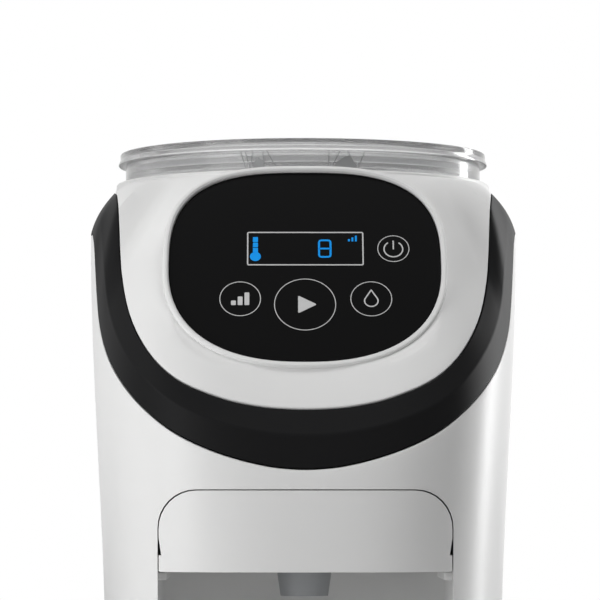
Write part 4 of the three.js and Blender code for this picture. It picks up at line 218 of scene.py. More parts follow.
def soften(section: Sequence[Vector], radii: dict[int, float], steps: int = 4) -> list[Vector]:
    """Round chosen corners of a closed section.

    Args:
        section: Corner points.
        radii: Corner number to the length taken off each side of it.
        steps: Number of short sides in place of the corner.

    Returns:
        The points of the rounded section.
    """
    points = []
    for index, point in enumerate(section):
        if index not in radii:
            points.append(point)
            continue
        before = section[index - 1] - point
        after = section[(index + 1) % len(section)] - point
        reach = min(radii[index], before.length * 0.45, after.length * 0.45)
        start, end = point + before.normalized() * reach, point + after.normalized() * reach
        points += [bezier(start, point, end, step / steps) for step in range(steps + 1)]
    return points


def lathe(
    profile: Sequence[tuple[float, float]], x: float = 0.0, y: float = 0.0,
    steps: int = 96, radii: dict[int, float] | None = None,
) -> Solid:
    """Turn a closed profile round a vertical axis.

    Args:
        profile: Pairs of radius and height.
        x: Place of the axis across.
        y: Place of the axis from front to back.
        steps: Number of steps round.
        radii: Corner number to its rounding.

    Returns:
        The turned solid.
    """
    flat = [Vector((radius, 0.0, z)) for radius, z in profile]
    if radii:
        flat = soften(flat, radii)
    on_axis = [i for i, p in enumerate(flat) if p.x < 1e-6]
    if on_axis:
        cut = next(i for i in on_axis if (i + 1) % len(flat) not in on_axis)
        flat = flat[cut:] + flat[:cut]
        return lathe_on_axis(flat, x, y, steps)
    sections = []
    for angle in circle(steps):
        sections.append([
            Vector((x + p.x * math.cos(angle), y + p.x * math.sin(angle), p.z)) for p in flat
        ])
    return loft_ring(sections)


def lathe_on_axis(flat: Sequence[Vector], x: float, y: float, steps: int) -> Solid:
    """Turn an open profile that starts and ends on the axis.

    Args:
        flat: Profile points, the first and the last on the axis.
        x: Place of the axis across.
        y: Place of the axis from front to back.
        steps: Number of steps round.

    Returns:
        The turned solid.
    """
    inner = [p for p in flat if p.x >= 1e-6]
    points = [Vector((x, y, flat[0].z)), Vector((x, y, flat[-1].z))]
    for p in inner:
        points += [
            Vector((x + p.x * math.cos(a), y + p.x * math.sin(a), p.z)) for a in circle(steps)
        ]
    faces: list[tuple[int, ...]] = []
    for j in range(steps):
        k = (j + 1) % steps
        faces.append((0, 2 + k, 2 + j))
        for i in range(len(inner) - 1):
            low, high = 2 + i * steps, 2 + (i + 1) * steps
            faces.append((low + j, low + k, high + k, high + j))
        top = 2 + (len(inner) - 1) * steps
        faces.append((1, top + j, top + k))
    return Solid(points, faces)


def slab(outline: Sequence[Vector], low: float, high: float, edge: float = 0.0, steps: int = 3) -> Solid:
    """Raise an outline into a plate with rounded rims.

    Args:
        outline: Points of the plan, anticlockwise.
        low: Height of the underside.
        high: Height of the top.
        edge: Radius of the rims.
        steps: Steps of each rim.

    Returns:
        The plate.
    """
    count = len(outline)
    normals = []
    for i, point in enumerate(outline):
        along = (outline[(i + 1) % count] - outline[i - 1]).normalized()
        normals.append(Vector((along.y, -along.x, 0.0)))

    def ring(inset: float, z: float) -> list[Vector]:
        """Return the outline drawn in by an inset at a height."""
        return [Vector((p.x - n.x * inset, p.y - n.y * inset, z)) for p, n in zip(outline, normals)]

    if edge <= 0:
        return loft_stack([ring(0.0, low), ring(0.0, high)])
    turns = [QUARTER * step / steps for step in range(steps + 1)]
    bottom = [ring(edge * (1 - math.sin(a)), low + edge * (1 - math.cos(a))) for a in turns]
    top = [ring(edge * (1 - math.cos(a)), high - edge * (1 - math.sin(a))) for a in turns]
    return loft_stack(bottom + top)


def brick(
    x: tuple[float, float], y: tuple[float, float], z: tuple[float, float], edge: float = 0.0,
    corner: float = 0.0,
) -> Solid:
    """Make a block with rounded rims (edge) and upright corners (corner)."""
    return slab(rounded_plan(x, y, max(corner, edge), max(corner, edge)), z[0], z[1], edge)


def pair(
    near: float, far: float, y: tuple[float, float], z: tuple[float, float], edge: float = 0.0,
) -> list[Solid]:
    """Make two blocks that mirror each other across the middle, the left one first."""
    low, high = sorted((near, far))
    return [brick((-high, -low), y, z, edge), brick((low, high), y, z, edge)]


def rod(
    radius: float, low: float, high: float, y: float = 0.0, steps: int = 48,
) -> Solid:
    """Make an upright rod round an axis in the middle plane."""
    return lathe([(0, low), (radius, low), (radius, high), (0, high)], 0.0, y, steps)


def rounded_plan(
    x: tuple[float, float], y: tuple[float, float], low_radius: float, high_radius: float,
    steps: int = 8,
) -> list[Vector]:
    """Return a box in plan with rounded corners.

    Args:
        x: Limits across.
        y: Limits along.
        low_radius: Radius of the corners at the low end of y.
        high_radius: Radius of the corners at the high end of y.
        steps: Steps of each corner.

    Returns:
        The points, anticlockwise.
    """
    corners = [
        (x[1] - low_radius, y[0] + low_radius, low_radius, -1),
        (x[1] - high_radius, y[1] - high_radius, high_radius, 0),
        (x[0] + high_radius, y[1] - high_radius, high_radius, 1),
        (x[0] + low_radius, y[0] + low_radius, low_radius, 2),
    ]
    points = []
    for cx, cy, radius, turn in corners:
        if radius <= 0:
            points.append(Vector((cx, cy, 0.0)))
            continue
        for step in range(steps + 1):
            angle = (turn + step / steps) * QUARTER
            points.append(Vector((cx + radius * math.cos(angle), cy + radius * math.sin(angle), 0.0)))
    return points


def tube(path: Sequence[Vector], radius: float, sides: int = 16) -> Solid:
    """Sweep a round section along a path.

    Args:
        path: Points of the middle line.
        radius: Radius of the section.
        sides: Number of sides.

    Returns:
        The closed tube.
    """
    rings = []
    up = Vector((0, 0, 1))
    side = None
    for i, point in enumerate(path):
        ahead = path[min(i + 1, len(path) - 1)] - path[max(i - 1, 0)]
        ahead.normalize()
        if side is None:
            seed = up if abs(ahead.dot(up)) < 0.9 else Vector((1, 0, 0))
            side = ahead.cross(seed).normalized()
        else:
            side = (side - ahead * side.dot(ahead)).normalized()
        lift = side.cross(ahead)
        rings.append([
            point + side * (radius * math.cos(a)) + lift * (radius * math.sin(a)) for a in circle(sides)
        ])
    return loft_stack([list(reversed(ring)) for ring in rings])


def ribbon(line: Sequence[Vector], width: float, height: float, closed: bool) -> Solid:
    """Lay a flat printed line along points of a plane.

    Args:
        line: Points in the plane, with z nought.
        width: Width of the line.
        height: How far it stands up.
        closed: Whether its ends meet.

    Returns:
        The thin solid.
    """
    count = len(line)
    sections = []
    for i, point in enumerate(line):
        before = line[i - 1] if closed or i > 0 else point
        after = line[(i + 1) % count] if closed or i < count - 1 else point
        along = (after - before).normalized()
        across = Vector((along.y, -along.x, 0.0)) * (width / 2)
        lift = Vector((0, 0, height))
        sections.append([point + across, point + across + lift, point - across + lift, point - across])
    if closed:
        return loft_ring(sections)
    return loft_stack(sections)


# Shape of the machine


@dataclass(frozen=True)
class Plan:
    """Outline of the body at one level.

    Attributes:
        half_width: Half of the width.
        front: Reach to the front.
        rear: Reach to the rear.
        front_power: Squareness of the front half.
        rear_power: Squareness of the rear half.
    """

    half_width: float
    front: float
    rear: float
    front_power: float = 3.6
    rear_power: float = 6.0

    def inset(self, amount: float) -> "Plan":
        """Return the plan drawn in all round.

        Args:
            amount: Distance in from the outline.

        Returns:
            The smaller plan.
        """
        return replace(
            self, half_width=self.half_width - amount, front=self.front - amount, rear=self.rear - amount
        )

    def towards(self, other: "Plan", share: float) -> "Plan":
        """Return the plan part of the way to another.

        Args:
            other: The plan at the end of the way.
            share: Share of the way.

        Returns:
            The plan between the two.
        """
        return replace(
            self, half_width=mix(self.half_width, other.half_width, share),
            front=mix(self.front, other.front, share), rear=mix(self.rear, other.rear, share),
        )

    def point(self, angle: float, z: float = 0.0) -> Vector:
        """Return the point at an angle from the front, turning towards +X.

        Args:
            angle: Angle in radians.
            z: Height of the point.

        Returns:
            The point of the outline.
        """
        forward = math.cos(angle) > 0
        reach = self.front if forward else self.rear
        power = self.front_power if forward else self.rear_power
        across = (abs(math.sin(angle)) / self.half_width) ** power
        along = (abs(math.cos(angle)) / reach) ** power
        radius = (across + along) ** (-1 / power)
        y = -radius * math.cos(angle)
        share = max(0.0, -y / self.front)
        eased = math.hypot(share, 0.15) - 0.15
        return Vector((radius * math.sin(angle) * (1 - 0.09 * eased), y, z))


INNER_RISE = (
    (0, 0), (0.058, 0.0047), (0.131, 0.028), (0.201, 0.077), (0.244, 0.1215), (0.286, 0.188),
    (0.347, 0.318), (0.393, 0.429), (0.431, 0.538), (0.458, 0.628), (0.48, 0.768), (0.507, 0.88),
    (0.568, 0.941), (0.687, 0.962), (1, 1),
)
OUTER_RISE = (
    (0, 0), (0.05, 0.0069), (0.098, 0.026), (0.144, 0.0541), (0.19, 0.0915), (0.242, 0.1466),
    (0.302, 0.232), (0.387, 0.368), (0.442, 0.46), (0.511, 0.603), (0.55, 0.751), (0.6, 0.935),
    (0.68, 0.99), (0.83, 1), (1, 1),
)


@dataclass(frozen=True)
class BodyForm:
    """Sizes and section curves that all the casing pieces share.

    Attributes:
        steps: Steps round the machine.
        wall: Thickness of the shell.
        deck: Height of the level deck round the container.
        deck_radius: Reach of the deck to the front.
        hole_radius: Radius of the hole for the container.
        foot: Height of the shell's lower edge.
        waist: Height of the narrowest level.
        ledge: Height of the ledge that carries the tank.
        seam: Place of the seam between the shells.
        front_low: Height of the collar's inner edge in front.
        panel_half_width: Half of the panel's width.
        panel_half_height: Half of the panel's height along the slope.
        panel_top: Height of the panel's upper edge.
        collar_plan: Outline that the collar's outer edge follows.
        surround_plan: Outline that the collar's inner edge follows.
        waist_plan: Outline of the narrowest level.
        base_plan: Outline of the lower edge.
        tub_waist_plan: Outline of the lower body at the narrowest level, with the tank's ledge.
        tub_base_plan: Outline of the lower body at its lower edge.
    """

    steps: int = 240
    wall: float = 2.4
    deck: float = 318.0
    deck_radius: float = 74.6
    hole_radius: float = 71.4
    foot: float = 3.0
    waist: float = 120.0
    ledge: float = 110.0
    seam: float = 45.0
    front_low: float = 225.4
    panel_half_width: float = 50.7
    panel_half_height: float = 42.9
    panel_top: float = 316.4
    collar_plan: Plan = Plan(84.3, 137.5, 87.0)
    surround_plan: Plan = Plan(74.6, 129.0, 77.0, 5.0)
    waist_plan: Plan = Plan(78.0, 131.2, 86.0)
    base_plan: Plan = Plan(81.0, 134.2, 86.0)
    tub_waist_plan: Plan = Plan(78.0, 131.2, 134.5, 3.6, 4.5)
    tub_base_plan: Plan = Plan(81.0, 134.2, 137.5, 3.6, 4.5)

    @property
    def slope(self) -> float:
        """Return how far the face runs forward for each step down."""
        return (self.surround_plan.front - self.deck_radius) / (self.deck - self.front_low)

    @property
    def tilt(self) -> float:
        """Return the angle of the face from the vertical."""
        return math.atan(self.slope)

    @property
    def face(self) -> Matrix:
        """Return the frame of the slanted face: x across, y up the slope, z out.

        Returns:
            The matrix from the face to the machine.
        """
        z = self.panel_top - self.panel_half_height * math.cos(self.tilt)
        y = -(self.deck_radius + (self.deck - z) * self.slope)
        return Matrix.Translation((0, y, z)) @ Matrix.Rotation(QUARTER - self.tilt, 4, "X")

    @staticmethod
    def share(angle: float) -> float:
        """Return the angle from the front as a share of a quarter turn."""
        return min(1.0, abs(math.atan2(math.sin(angle), math.cos(angle))) / QUARTER)

    def inner_edge(self, angle: float) -> Vector:
        """Return the line where the collar meets the surround."""
        rise = table_value(INNER_RISE, self.share(angle))
        return self.surround_plan.point(angle, mix(self.front_low, 315.0, rise))

    def outer_edge(self, angle: float) -> Vector:
        """Return the line where the collar meets the shell."""
        rise = table_value(OUTER_RISE, self.share(angle))
        return self.collar_plan.point(angle, mix(203.2, 296.0, rise))

    def deck_edge(self, angle: float) -> Vector:
        """Return the outer edge of the level deck.

        Args:
            angle: Angle from the front.

        Returns:
            The point of the edge.
        """
        if math.cos(angle) > 0:
            reach = self.deck_radius
            return Vector((reach * math.sin(angle), -reach * math.cos(angle), self.deck))
        return self.surround_plan.point(angle, self.deck)

    def skin(self, angle: float, inset: float, low: int = 12, high: int = 24) -> list[Vector]:
        """Return the shell's section from its foot to the collar.

        Args:
            angle: Angle from the front.
            inset: Distance in from the outside.
            low: Levels below the waist.
            high: Levels above the waist.

        Returns:
            The points, from the bottom up.
        """
        base, waist = (p.inset(inset).point(angle) for p in (self.base_plan, self.waist_plan))
        top = self.outer_edge(angle)
        edge = inward(top, inset, 0.6) if inset > 0 else top
        points = []
        for level in range(low):
            rise = smooth(level / low)
            point = base.lerp(waist, rise)
            points.append(Vector((point.x, point.y, mix(self.foot, self.waist, level / low))))
        for level in range(high + 1):
            point = waist.lerp(Vector((edge.x, edge.y, 0)), smooth(level / high))
            points.append(Vector((point.x, point.y, mix(self.waist, edge.z, level / high))))
        return points

    def skin_solid(self, inset: float) -> Solid:
        """Return the solid inside the shell's skin."""
        sections = [self.skin(angle, inset) for angle in circle(self.steps)]
        return loft_stack([[s[level] for s in sections] for level in range(len(sections[0]))])

    def tub_solid(self, inset: float, levels: Sequence[tuple[float, float]]) -> Solid:
        """Return the solid inside the lower body.

        Args:
            inset: Distance in from the outside.
            levels: Pairs of height and extra inset, from the bottom up.

        Returns:
            The closed solid.
        """
        rings = []
        for z, extra in levels:
            share = smooth((z - self.foot) / (self.waist - self.foot))
            plan = self.tub_base_plan.towards(self.tub_waist_plan, share).inset(inset + extra)
            rings.append([plan.point(angle, z) for angle in circle(self.steps)])
        return loft_stack(rings)

    def panel_outline(self, side: float, top: float, steps: int = 160) -> list[Vector]:
        """Return the panel's outline in the plane of the face.

        Args:
            side: Growth at the sides and the bottom.
            top: Growth at the top.
            steps: Number of points.

        Returns:
            The points, anticlockwise.
        """
        points = []
        for angle in circle(steps):
            upper = math.sin(angle) > 0
            power = 2.9 if upper else 2.4
            width = self.panel_half_width + side
            height = self.panel_half_height + (top if upper else side)
            across = (abs(math.cos(angle)) / width) ** power
            along = (abs(math.sin(angle)) / height) ** power
            radius = (across + along) ** (-1 / power)
            points.append(Vector((radius * math.cos(angle), radius * math.sin(angle), 0.0)))
        return points


FORM = BodyForm()


# Materials


@dataclass(frozen=True)
class GroupNode:
    """One node of a shader group.

    Attributes:
        kind: Blender's node type.
        settings: Values of its own properties.
        values: Values of its inputs.
    """

    kind: str
    settings: dict[str, object] = field(default_factory=dict)
    values: dict[str | int, object] = field(default_factory=dict)


class Effect:
    """A shader node group with named inputs and outputs, shared by materials."""

    def __init__(self, name: str, inputs: dict[str, float], outputs: Iterable[str]) -> None:
        """Make the empty group.

        Args:
            name: Name of the group.
            inputs: Input names and their usual values.
            outputs: Output names.
        """
        self.tree = bpy.data.node_groups.new(name, "ShaderNodeTree")
        for title, value in inputs.items():
            socket = self.tree.interface.new_socket(title, in_out="INPUT", socket_type="NodeSocketFloat")
            socket.default_value = value
        for title in outputs:
            self.tree.interface.new_socket(title, in_out="OUTPUT", socket_type="NodeSocketFloat")
        self.source = self.tree.nodes.new("NodeGroupInput")
        self.target = self.tree.nodes.new("NodeGroupOutput")

    def node(self, spec: GroupNode) -> bpy.types.Node:
        """Add one node.

        Args:
            spec: What the node is and how it is set.

        Returns:
            The new node.
        """
        made = self.tree.nodes.new(spec.kind)
        for key, value in spec.settings.items():
            setattr(made, key, value)
        for key, value in spec.values.items():
            made.inputs[key].default_value = value
        return made

    def link(self, start: bpy.types.NodeSocket, end: bpy.types.NodeSocket) -> None:
        """Join two sockets."""
        self.tree.links.new(start, end)

    def math(self, operation: str, first: bpy.types.NodeSocket, second: object) -> bpy.types.NodeSocket:
        """Add a sum of two values.

        Args:
            operation: Name of the operation.
            first: The first value.
            second: The second value, a socket or a number.

        Returns:
            The result's socket.
        """
        made = self.node(GroupNode("ShaderNodeMath", {"operation": operation}))
        self.link(first, made.inputs[0])
        if isinstance(second, bpy.types.NodeSocket):
            self.link(second, made.inputs[1])
        else:
            made.inputs[1].default_value = second
        return made.outputs[0]

    def noise(
        self, place: bpy.types.NodeSocket, values: dict[str | int, object], scaled: bool,
    ) -> bpy.types.NodeSocket:
        """Add a noise.

        Args:
            place: Socket of the place that it is read at.
            values: Values of its inputs.
            scaled: Whether the group's Scale input sets its scale.

        Returns:
            The noise's socket.
        """
        made = self.node(GroupNode("ShaderNodeTexNoise", {}, values))
        self.link(place, made.inputs["Vector"])
        if scaled:
            self.link(self.source.outputs["Scale"], made.inputs["Scale"])
        return made.outputs["Fac"]

    def finish(self, height: bpy.types.NodeSocket, tint: bpy.types.NodeSocket) -> bpy.types.NodeTree:
        """Put out the height, the tint and the roughness that varies with the tint.

        Args:
            height: Socket of the height.
            tint: Socket of the tint.

        Returns:
            The finished group.
        """
        self.link(height, self.target.inputs["Height"])
        self.link(tint, self.target.inputs["Tint"])
        spread = self.math("MULTIPLY", self.math("SUBTRACT", tint, 0.5), self.source.outputs["Spread"])
        self.link(self.math("ADD", spread, self.source.outputs["Rough"]), self.target.inputs["Rough"])
        return self.tree


def moulded_effect() -> bpy.types.NodeTree:
    """Make the faint grain and flow of moulded plastic.

    Returns:
        A group that puts out a height, a tint near one half and a roughness.
    """
    inputs = {"Scale": 900.0, "Rough": 0.3, "Spread": 0.05}
    effect = Effect("MouldedPlastic", inputs, ("Height", "Tint", "Rough"))
    place = effect.node(GroupNode("ShaderNodeTexCoord")).outputs["Object"]
    fine = effect.noise(place, {"Detail": 3.0, "Roughness": 0.6}, scaled=True)
    broad = effect.noise(place, {"Scale": 14.0, "Detail": 2.0}, scaled=False)
    return effect.finish(fine, broad)


def brushed_effect() -> bpy.types.NodeTree:
    """Make the drawn lines of brushed metal.

    Returns:
        A group that puts out a height, a tint and a roughness.
    """
    inputs = {"Scale": 260.0, "Rough": 0.3, "Spread": 0.2}
    effect = Effect("BrushedMetal", inputs, ("Height", "Tint", "Rough"))
    place = effect.node(GroupNode("ShaderNodeTexCoord")).outputs["Object"]
    stretch = effect.node(GroupNode("ShaderNodeMapping", {}, {"Scale": (0.04, 1.0, 1.0)}))
    effect.link(place, stretch.inputs["Vector"])
    lines = effect.noise(stretch.outputs["Vector"], {"Detail": 4.0, "Roughness": 0.7}, scaled=True)
    return effect.finish(lines, lines)


class Surface(Enum):
    """The effects that a finish can carry."""

    MOULDED = "MouldedPlastic"
    BRUSHED = "BrushedMetal"


EFFECTS: dict[Surface, Callable[[], bpy.types.NodeTree]] = {
    Surface.MOULDED: moulded_effect,
    Surface.BRUSHED: brushed_effect,
}


@dataclass(frozen=True)
class Finish:
    """A finish and the material that shows it.

    Attributes:
        title: Name of the material.
        slot: Slot of the record that it belongs to; not used here.
        color: Base colour, linear.
        rough: Mean roughness.
        spread: How much the roughness varies.
        tint: How far the colour varies, as a share.
        grain: Scale of the surface grain.
        relief: Depth of the grain, in millimetres.
        metallic: Whether it is metal, from 0 to 1.
        specular: Specular level.
        coat: Weight of the clear coat.
        through: How much light goes through, from 0 to 1.
        ior: Index of refraction.
        glow: Strength of its own light.
        surface: Effect that it carries.
    """

    title: str
    slot: str
    color: tuple[float, float, float]
    rough: float = 0.3
    spread: float = 0.05
    tint: float = 0.03
    grain: float = 900.0
    relief: float = 0.01
    metallic: float = 0.0
    specular: float = 0.5
    coat: float = 0.0
    through: float = 0.0
    ior: float = 1.47
    glow: float = 0.0
    surface: Surface = Surface.MOULDED

    def material(self) -> bpy.types.Material:
        """Return the material, made once.

        Returns:
            The material.
        """
        known = bpy.data.materials.get(self.title)
        if known:
            return known
        made = bpy.data.materials.new(self.title)
        made.use_nodes = True
        nodes, links = made.node_tree.nodes, made.node_tree.links
        shader = nodes["Principled BSDF"]
        effect = nodes.new("ShaderNodeGroup")
        tree = bpy.data.node_groups.get(self.surface.value)
        effect.node_tree = tree or EFFECTS[self.surface]()
        effect.inputs["Scale"].default_value = self.grain
        effect.inputs["Rough"].default_value = self.rough
        effect.inputs["Spread"].default_value = self.spread
        ramp = nodes.new("ShaderNodeValToRGB")
        ramp.color_ramp.elements[0].color = (*(c * (1 - self.tint) for c in self.color), 1)
        ramp.color_ramp.elements[1].color = (*(min(1.0, c * (1 + self.tint)) for c in self.color), 1)
        bump = nodes.new("ShaderNodeBump")
        bump.inputs["Distance"].default_value = self.relief * MM
        bump.inputs["Strength"].default_value = 0.5
        links.new(effect.outputs["Tint"], ramp.inputs["Fac"])
        links.new(ramp.outputs["Color"], shader.inputs["Base Color"])
        links.new(effect.outputs["Rough"], shader.inputs["Roughness"])
        links.new(effect.outputs["Height"], bump.inputs["Height"])
        links.new(bump.outputs["Normal"], shader.inputs["Normal"])
        shader.inputs["Metallic"].default_value = self.metallic
        shader.inputs["Specular IOR Level"].default_value = self.specular
        shader.inputs["Coat Weight"].default_value = self.coat
        shader.inputs["Coat Roughness"].default_value = 0.06
        shader.inputs["Transmission Weight"].default_value = self.through
        shader.inputs["IOR"].default_value = self.ior
        if self.glow > 0:
            links.new(ramp.outputs["Color"], shader.inputs["Emission Color"])
            shader.inputs["Emission Strength"].default_value = self.glow
        return made


WHITE = Finish(
    "White gloss shell", "white_gloss", (0.80, 0.80, 0.795), 0.34, 0.04, 0.008, 700, 0.004,
    specular=0.2,
)
INNER = Finish("White satin inner", "white_inner", (0.72, 0.72, 0.715), 0.45, 0.08, 0.015, 600, 0.012)
COLLAR = Finish(
    "Black gloss collar", "black_gloss", (0.006, 0.006, 0.0064), 0.55, 0.03, 0.1, 900, 0.003,
    specular=0.1,
)
LENS = Finish(
    "Black lens", "panel_black", (0.004, 0.004, 0.0042), 0.07, 0.01, 0.1, 300, 0.0005,
    specular=0.06,
)
SMOKE = Finish(
    "Clear lid plastic", "smoke_clear", (0.988, 0.989, 0.99), 0.15, 0.04, 0.005, 300, 0.002,
    through=0.9, ior=1.3,
)
FROST = Finish(
    "Frosted rib", "smoke_clear", (0.36, 0.365, 0.37), 0.3, 0.05, 0.03, 300, 0.004, through=0.1,
)
CLEAR = Finish(
    "Clear tank plastic", "tank_clear", (0.95, 0.97, 0.98), 0.06, 0.02, 0.01, 200, 0.003,
    through=0.93, ior=1.35,
)
GREY = Finish("Grey plastic", "grey_plastic", (0.30, 0.31, 0.32), 0.42, 0.08, 0.05, 700, 0.012)
DARK = Finish("Dark plastic", "dark_plastic", (0.035, 0.035, 0.038), 0.5, 0.08, 0.08, 600, 0.02)
RUBBER = Finish(
    "Foot rubber", "foot_rubber", (0.02, 0.02, 0.02), 0.8, 0.08, 0.15, 500, 0.03, specular=0.3,
)
SILICONE = Finish(
    "Milky silicone", "silicone", (0.96, 0.965, 0.97), 0.3, 0.06, 0.01, 400, 0.008,
    through=0.85, ior=1.2,
)
STEEL = Finish(
    "Brushed steel", "steel", (0.60, 0.61, 0.63), 0.3, 0.16, 0.08, 300, 0.004, 1.0,
    surface=Surface.BRUSHED,
)
ALUMINIUM = Finish("Cast aluminium", "aluminium", (0.66, 0.67, 0.68), 0.42, 0.12, 0.06, 500, 0.02, 1.0)
BRASS = Finish(
    "Turned brass", "brass", (0.68, 0.50, 0.22), 0.3, 0.14, 0.08, 320, 0.004, 1.0,
    surface=Surface.BRUSHED,
)
BOARD = Finish("Green circuit board", "circuit_board", (0.02, 0.13, 0.05), 0.35, 0.12, 0.35, 120, 0.02)
DISPLAY = Finish("Display glass", "display_glass", (0.02, 0.025, 0.03), 0.1, 0.02, 0.1, 200, 0.001)
# Light grey print on the lens; its faint glow is painted light, because the print is no lamp.
PRINT_PAINTED_GLOW = Finish(
    "Light grey print, painted glow", "panel_black", (0.50, 0.50, 0.50), 0.4, 0.04, 0.03, 300, 0.001, glow=0.12,
)
BLUE = Finish(
    "Blue display light", "display_glass", (0.010, 0.262, 0.716), 0.4, 0.02, 0.06, 200, 0.001,
    specular=0.1, glow=0.24,
)


# Making and joining meshes


def make(
    name: str, solid: Solid, finish: Finish, body: str, *nodes: str, crease: float = 32.0,
) -> bpy.types.Object:
    """Make a piece of the object.

    Args:
        name: Name of the piece.
        solid: Its form, in millimetres.
        finish: Its finish.
        body: Body that it rides on.
        *nodes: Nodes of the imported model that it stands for.
        crease: Angle in degrees above which an edge stays sharp.

    Returns:
        The new object.
    """
    piece = mesh_object(name, solid)
    settle(piece, finish, body, *nodes, crease=crease)
    return piece


def settle(
    piece: bpy.types.Object, finish: Finish, body: str, *nodes: str, crease: float = 32.0,
) -> None:
    """Dress a finished mesh and let it ride on its body.

    Args:
        piece: The object.
        finish: Its finish.
        body: Body that it rides on.
        *nodes: Nodes that it stands for.
        crease: Angle in degrees above which an edge stays sharp.
    """
    piece.data.materials.clear()
    piece.data.materials.append(finish.material())
    shade(piece, crease)
    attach(piece, body)
    if nodes:
        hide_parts(*nodes)
    LOG.info("%s: %d faces, rides on %s", piece.name, len(piece.data.polygons), body)


def shade(piece: bpy.types.Object, crease: float) -> None:
    """Shade a mesh smooth, but for its sharp edges."""
    piece.data.polygons.foreach_set("use_smooth", [True] * len(piece.data.polygons))
    piece.data.set_sharp_from_angle(angle=math.radians(crease))


def mesh_object(name: str, solid: Solid) -> bpy.types.Object:
    """Make a bare object in metres with its faces turned out.

    Args:
        name: Name of the object.
        solid: Its form.

    Returns:
        The object, linked to the scene.
    """
    mesh = bpy.data.meshes.new(name)
    mesh.from_pydata([point * MM for point in solid.points], [], solid.faces)
    work = bmesh.new()
    work.from_mesh(mesh)
    bmesh.ops.remove_doubles(work, verts=work.verts, dist=1e-7)
    bmesh.ops.recalc_face_normals(work, faces=work.faces)
    work.to_mesh(mesh)
    work.free()
    made = bpy.data.objects.new(name, mesh)
    bpy.context.scene.collection.objects.link(made)
    return made


class Cut(Enum):
    """Ways to combine two closed meshes."""

    TAKE = "DIFFERENCE"
    KEEP = "INTERSECT"
    JOIN = "UNION"


def combine(piece: bpy.types.Object, way: Cut, tool: bpy.types.Object) -> None:
    """Combine a piece with a closed object.

    Args:
        piece: The object to change.
        way: How to combine.
        tool: The other object, which is used up.
    """
    modifier = piece.modifiers.new("cut", "BOOLEAN")
    modifier.operation = way.value
    modifier.solver = "MANIFOLD"
    modifier.object = tool
    apply_modifiers(piece)
    bpy.data.objects.remove(tool)


def carve(piece: bpy.types.Object, way: Cut, *tools: Solid) -> None:
    """Combine a piece with closed solids, one after the other."""
    for solid in tools:
        combine(piece, way, mesh_object("tool", solid))


def apply_modifiers(piece: bpy.types.Object) -> None:
    """Turn a piece's modifiers into its mesh.

    Args:
        piece: The object to change.
    """
    bpy.context.view_layer.update()
    graph = bpy.context.evaluated_depsgraph_get()
    mesh = bpy.data.meshes.new_from_object(piece.evaluated_get(graph))
    piece.modifiers.clear()
    piece.data = mesh


def refine(name: str, node: str, finish: Finish, body: str, edge: float) -> bpy.types.Object:
    """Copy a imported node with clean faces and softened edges.

    Args:
        name: Name of the piece.
        node: Node to copy.
        finish: Its finish.
        body: Body that it rides on.
        edge: Width of the softened edges, in millimetres.

    Returns:
        The new piece.
    """
    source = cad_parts[node]
    mesh = source.data.copy()
    work = bmesh.new()
    work.from_mesh(mesh)
    work.transform(source.matrix_world)
    bmesh.ops.remove_doubles(work, verts=work.verts, dist=1e-6)
    bmesh.ops.dissolve_limit(work, angle_limit=math.radians(0.6), verts=work.verts, edges=work.edges)
    bmesh.ops.recalc_face_normals(work, faces=work.faces)
    work.to_mesh(mesh)
    work.free()
    piece = bpy.data.objects.new(name, mesh)
    bpy.context.scene.collection.objects.link(piece)
    if edge > 0:
        modifier = piece.modifiers.new("edge", "BEVEL")
        modifier.width = edge * MM
        modifier.segments = 2
        modifier.limit_method = "ANGLE"
        modifier.angle_limit = math.radians(50)
        modifier.harden_normals = False
        apply_modifiers(piece)
    settle(piece, finish, body, node, crease=38.0)
    return piece


# Casing


def slot_along_y(x: tuple[float, float], z: tuple[float, float], y: tuple[float, float]) -> Solid:
    """Make a cutter with round ends that runs from front to back.

    Args:
        x: Limits across.
        z: Limits of height.
        y: Limits of depth.

    Returns:
        The cutter.
    """
    radius = min(x[1] - x[0], z[1] - z[0]) / 2
    plan = rounded_plan(x, z, radius, radius, 6)
    turn = Matrix.Translation((0, y[1], 0)) @ Matrix.Rotation(QUARTER, 4, "X")
    return slab(plan, 0.0, y[1] - y[0]).placed(turn)


